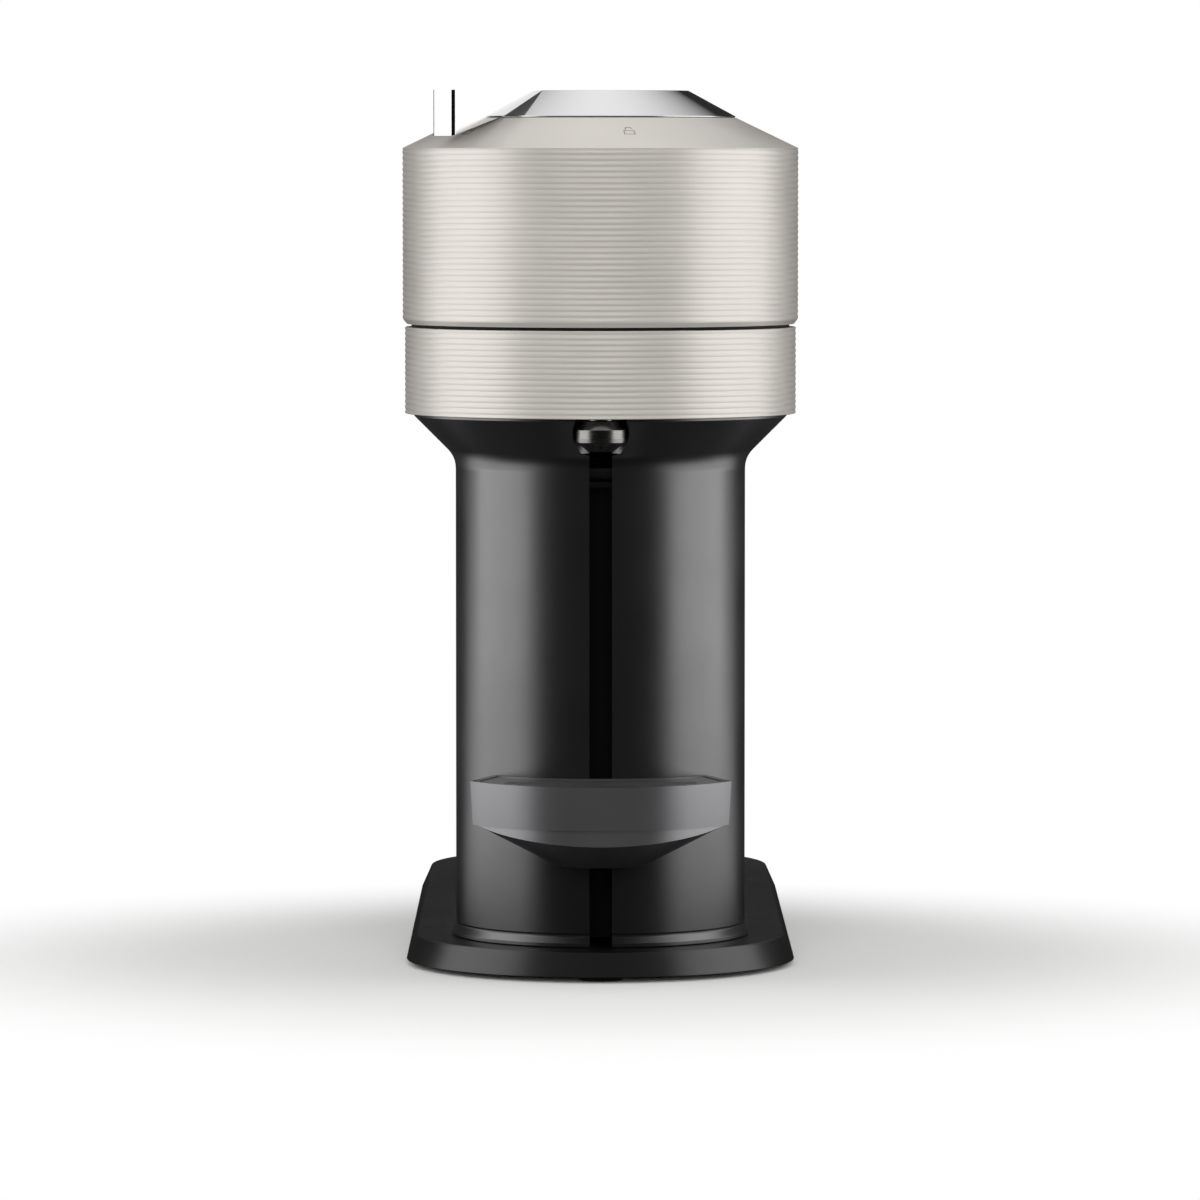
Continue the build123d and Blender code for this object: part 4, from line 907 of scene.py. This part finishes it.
kept = add(slot_tree, "GeometryNodeStoreNamedAttribute", {
    "Geometry": (line, 0), "Name": "half", "Value": (straight_half, 0)},
    data_type="FLOAT", domain="POINT")
bar = add(slot_tree, "GeometryNodeMeshCylinder", {
    "Vertices": 24, "Radius": (half_width, 0), "Depth": (given, "Depth")})
laid = add(slot_tree, "GeometryNodeTransform", {"Geometry": (bar, 0), "Rotation": (given, "Turn")})
row = add(slot_tree, "GeometryNodeInstanceOnPoints", {"Points": (kept, 0), "Instance": (laid, 0)})
real = add(slot_tree, "GeometryNodeRealizeInstances", {"Geometry": (row, 0)})
half = add(slot_tree, "GeometryNodeInputNamedAttribute", {"Name": "half"}, data_type="FLOAT")
spot = add(slot_tree, "ShaderNodeSeparateXYZ", {
    0: (add(slot_tree, "GeometryNodeInputPosition"), 0)})
clean_x = add(slot_tree, "ShaderNodeMath", {0: (spot, "X"), 1: 0.01 * mm}, operation="SNAP")
side = add(slot_tree, "ShaderNodeMath", {0: (clean_x, 0)}, operation="SIGN")
pull = add(slot_tree, "ShaderNodeMath", {0: (side, 0), 1: (half, 0)}, operation="MULTIPLY")
drawn_out = add(slot_tree, "GeometryNodeSetPosition", {
    "Geometry": (real, 0),
    "Offset": (add(slot_tree, "ShaderNodeCombineXYZ", {"X": (pull, 0)}), 0)})
dressed = add(slot_tree, "GeometryNodeSetMaterial", {
    "Geometry": (drawn_out, 0), "Material": (given, "Material")})
add(slot_tree, "NodeGroupOutput", {"Geometry": (dressed, 0)})


def slots(name, **values):
    """A row of round-ended bars to cut slots with. Values are by socket name, in metres."""
    piece = mesh_object(name, [(0, 0, 0)], [])
    row = piece.modifiers.new("slots", "NODES")
    row.node_group = slot_tree
    sockets = {s.name: s.identifier for s in slot_tree.interface.items_tree if s.in_out == "INPUT"}
    row[sockets["Material"]] = anthracite
    for label, value in values.items():
        row[sockets[label.replace("_", " ")]] = value
    return apply_modifiers(piece)


grid_low, grid_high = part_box("drip_grid")
grid_thickness = grid_high.z - grid_low.z
grid_inset = 2.9
slot_width = 3.0
slot_pitch = 5.2
slot_count = 4
slot_margin = 8
first_slot = support_reach - 12
grid = lofted("slotted_grid", grid_low.z / mm, grid_high.z / mm, grid_inset, grid_inset)
bars = slots(
    "slot_bars", First=(0, axis_y - first_slot * mm, grid_low.z + grid_thickness / 2),
    Step=(0, slot_pitch * mm, 0), Turn=(0, 0, 0), Count=float(slot_count),
    Width=slot_width * mm, Depth=grid_thickness + 2 * mm, Round_Radius=front_radius * mm,
    Round_Back=axis_y + (front_radius - support_reach) * mm, Margin=slot_margin * mm,
    Longest=(back_x - 4) * mm)
combine(grid, bars)
fit(grid, anthracite, "grid", "dark_support", "drip_grid")

# ---------------------------------------------------------------- water tank
# A tank of smoked clear copolyester in a round dock behind the body, under a hinged matt black
# lid. The outlet's valve and its guide are in the floor.
smoke, tree = new_material("smoked_clear_copolyester")
swell = add(tree, "ShaderNodeTexNoise", {
    "Vector": (add(tree, "ShaderNodeTexCoord"), "Object"), "Scale": 1 / (30 * mm), "Detail": 1.0})
dent = add(tree, "ShaderNodeBump", {"Height": (swell, 0), "Strength": 0.2, "Distance": 0.2 * mm})
show(tree, add(tree, "ShaderNodeBsdfPrincipled", {
    "Base Color": linear("A5A9AC"), "Roughness": 0.05, "IOR": 1.52, "Transmission Weight": 1.0,
    "Normal": (dent, 0)}))
eased("eased_tank", "water_tank", smoke, "tank", "smoke_clear", 0.3)
eased("eased_tank_lid", "tank_lid", matt_black, "lid", "base_black", 0.5)
eased("eased_dock", "tank_dock", matt_black, "base", "base_black", 0.4)
dress(polypropylene, "tank_socket", "tank_valve")
dress(turned_steel, "lid_pin", "valve_spring")
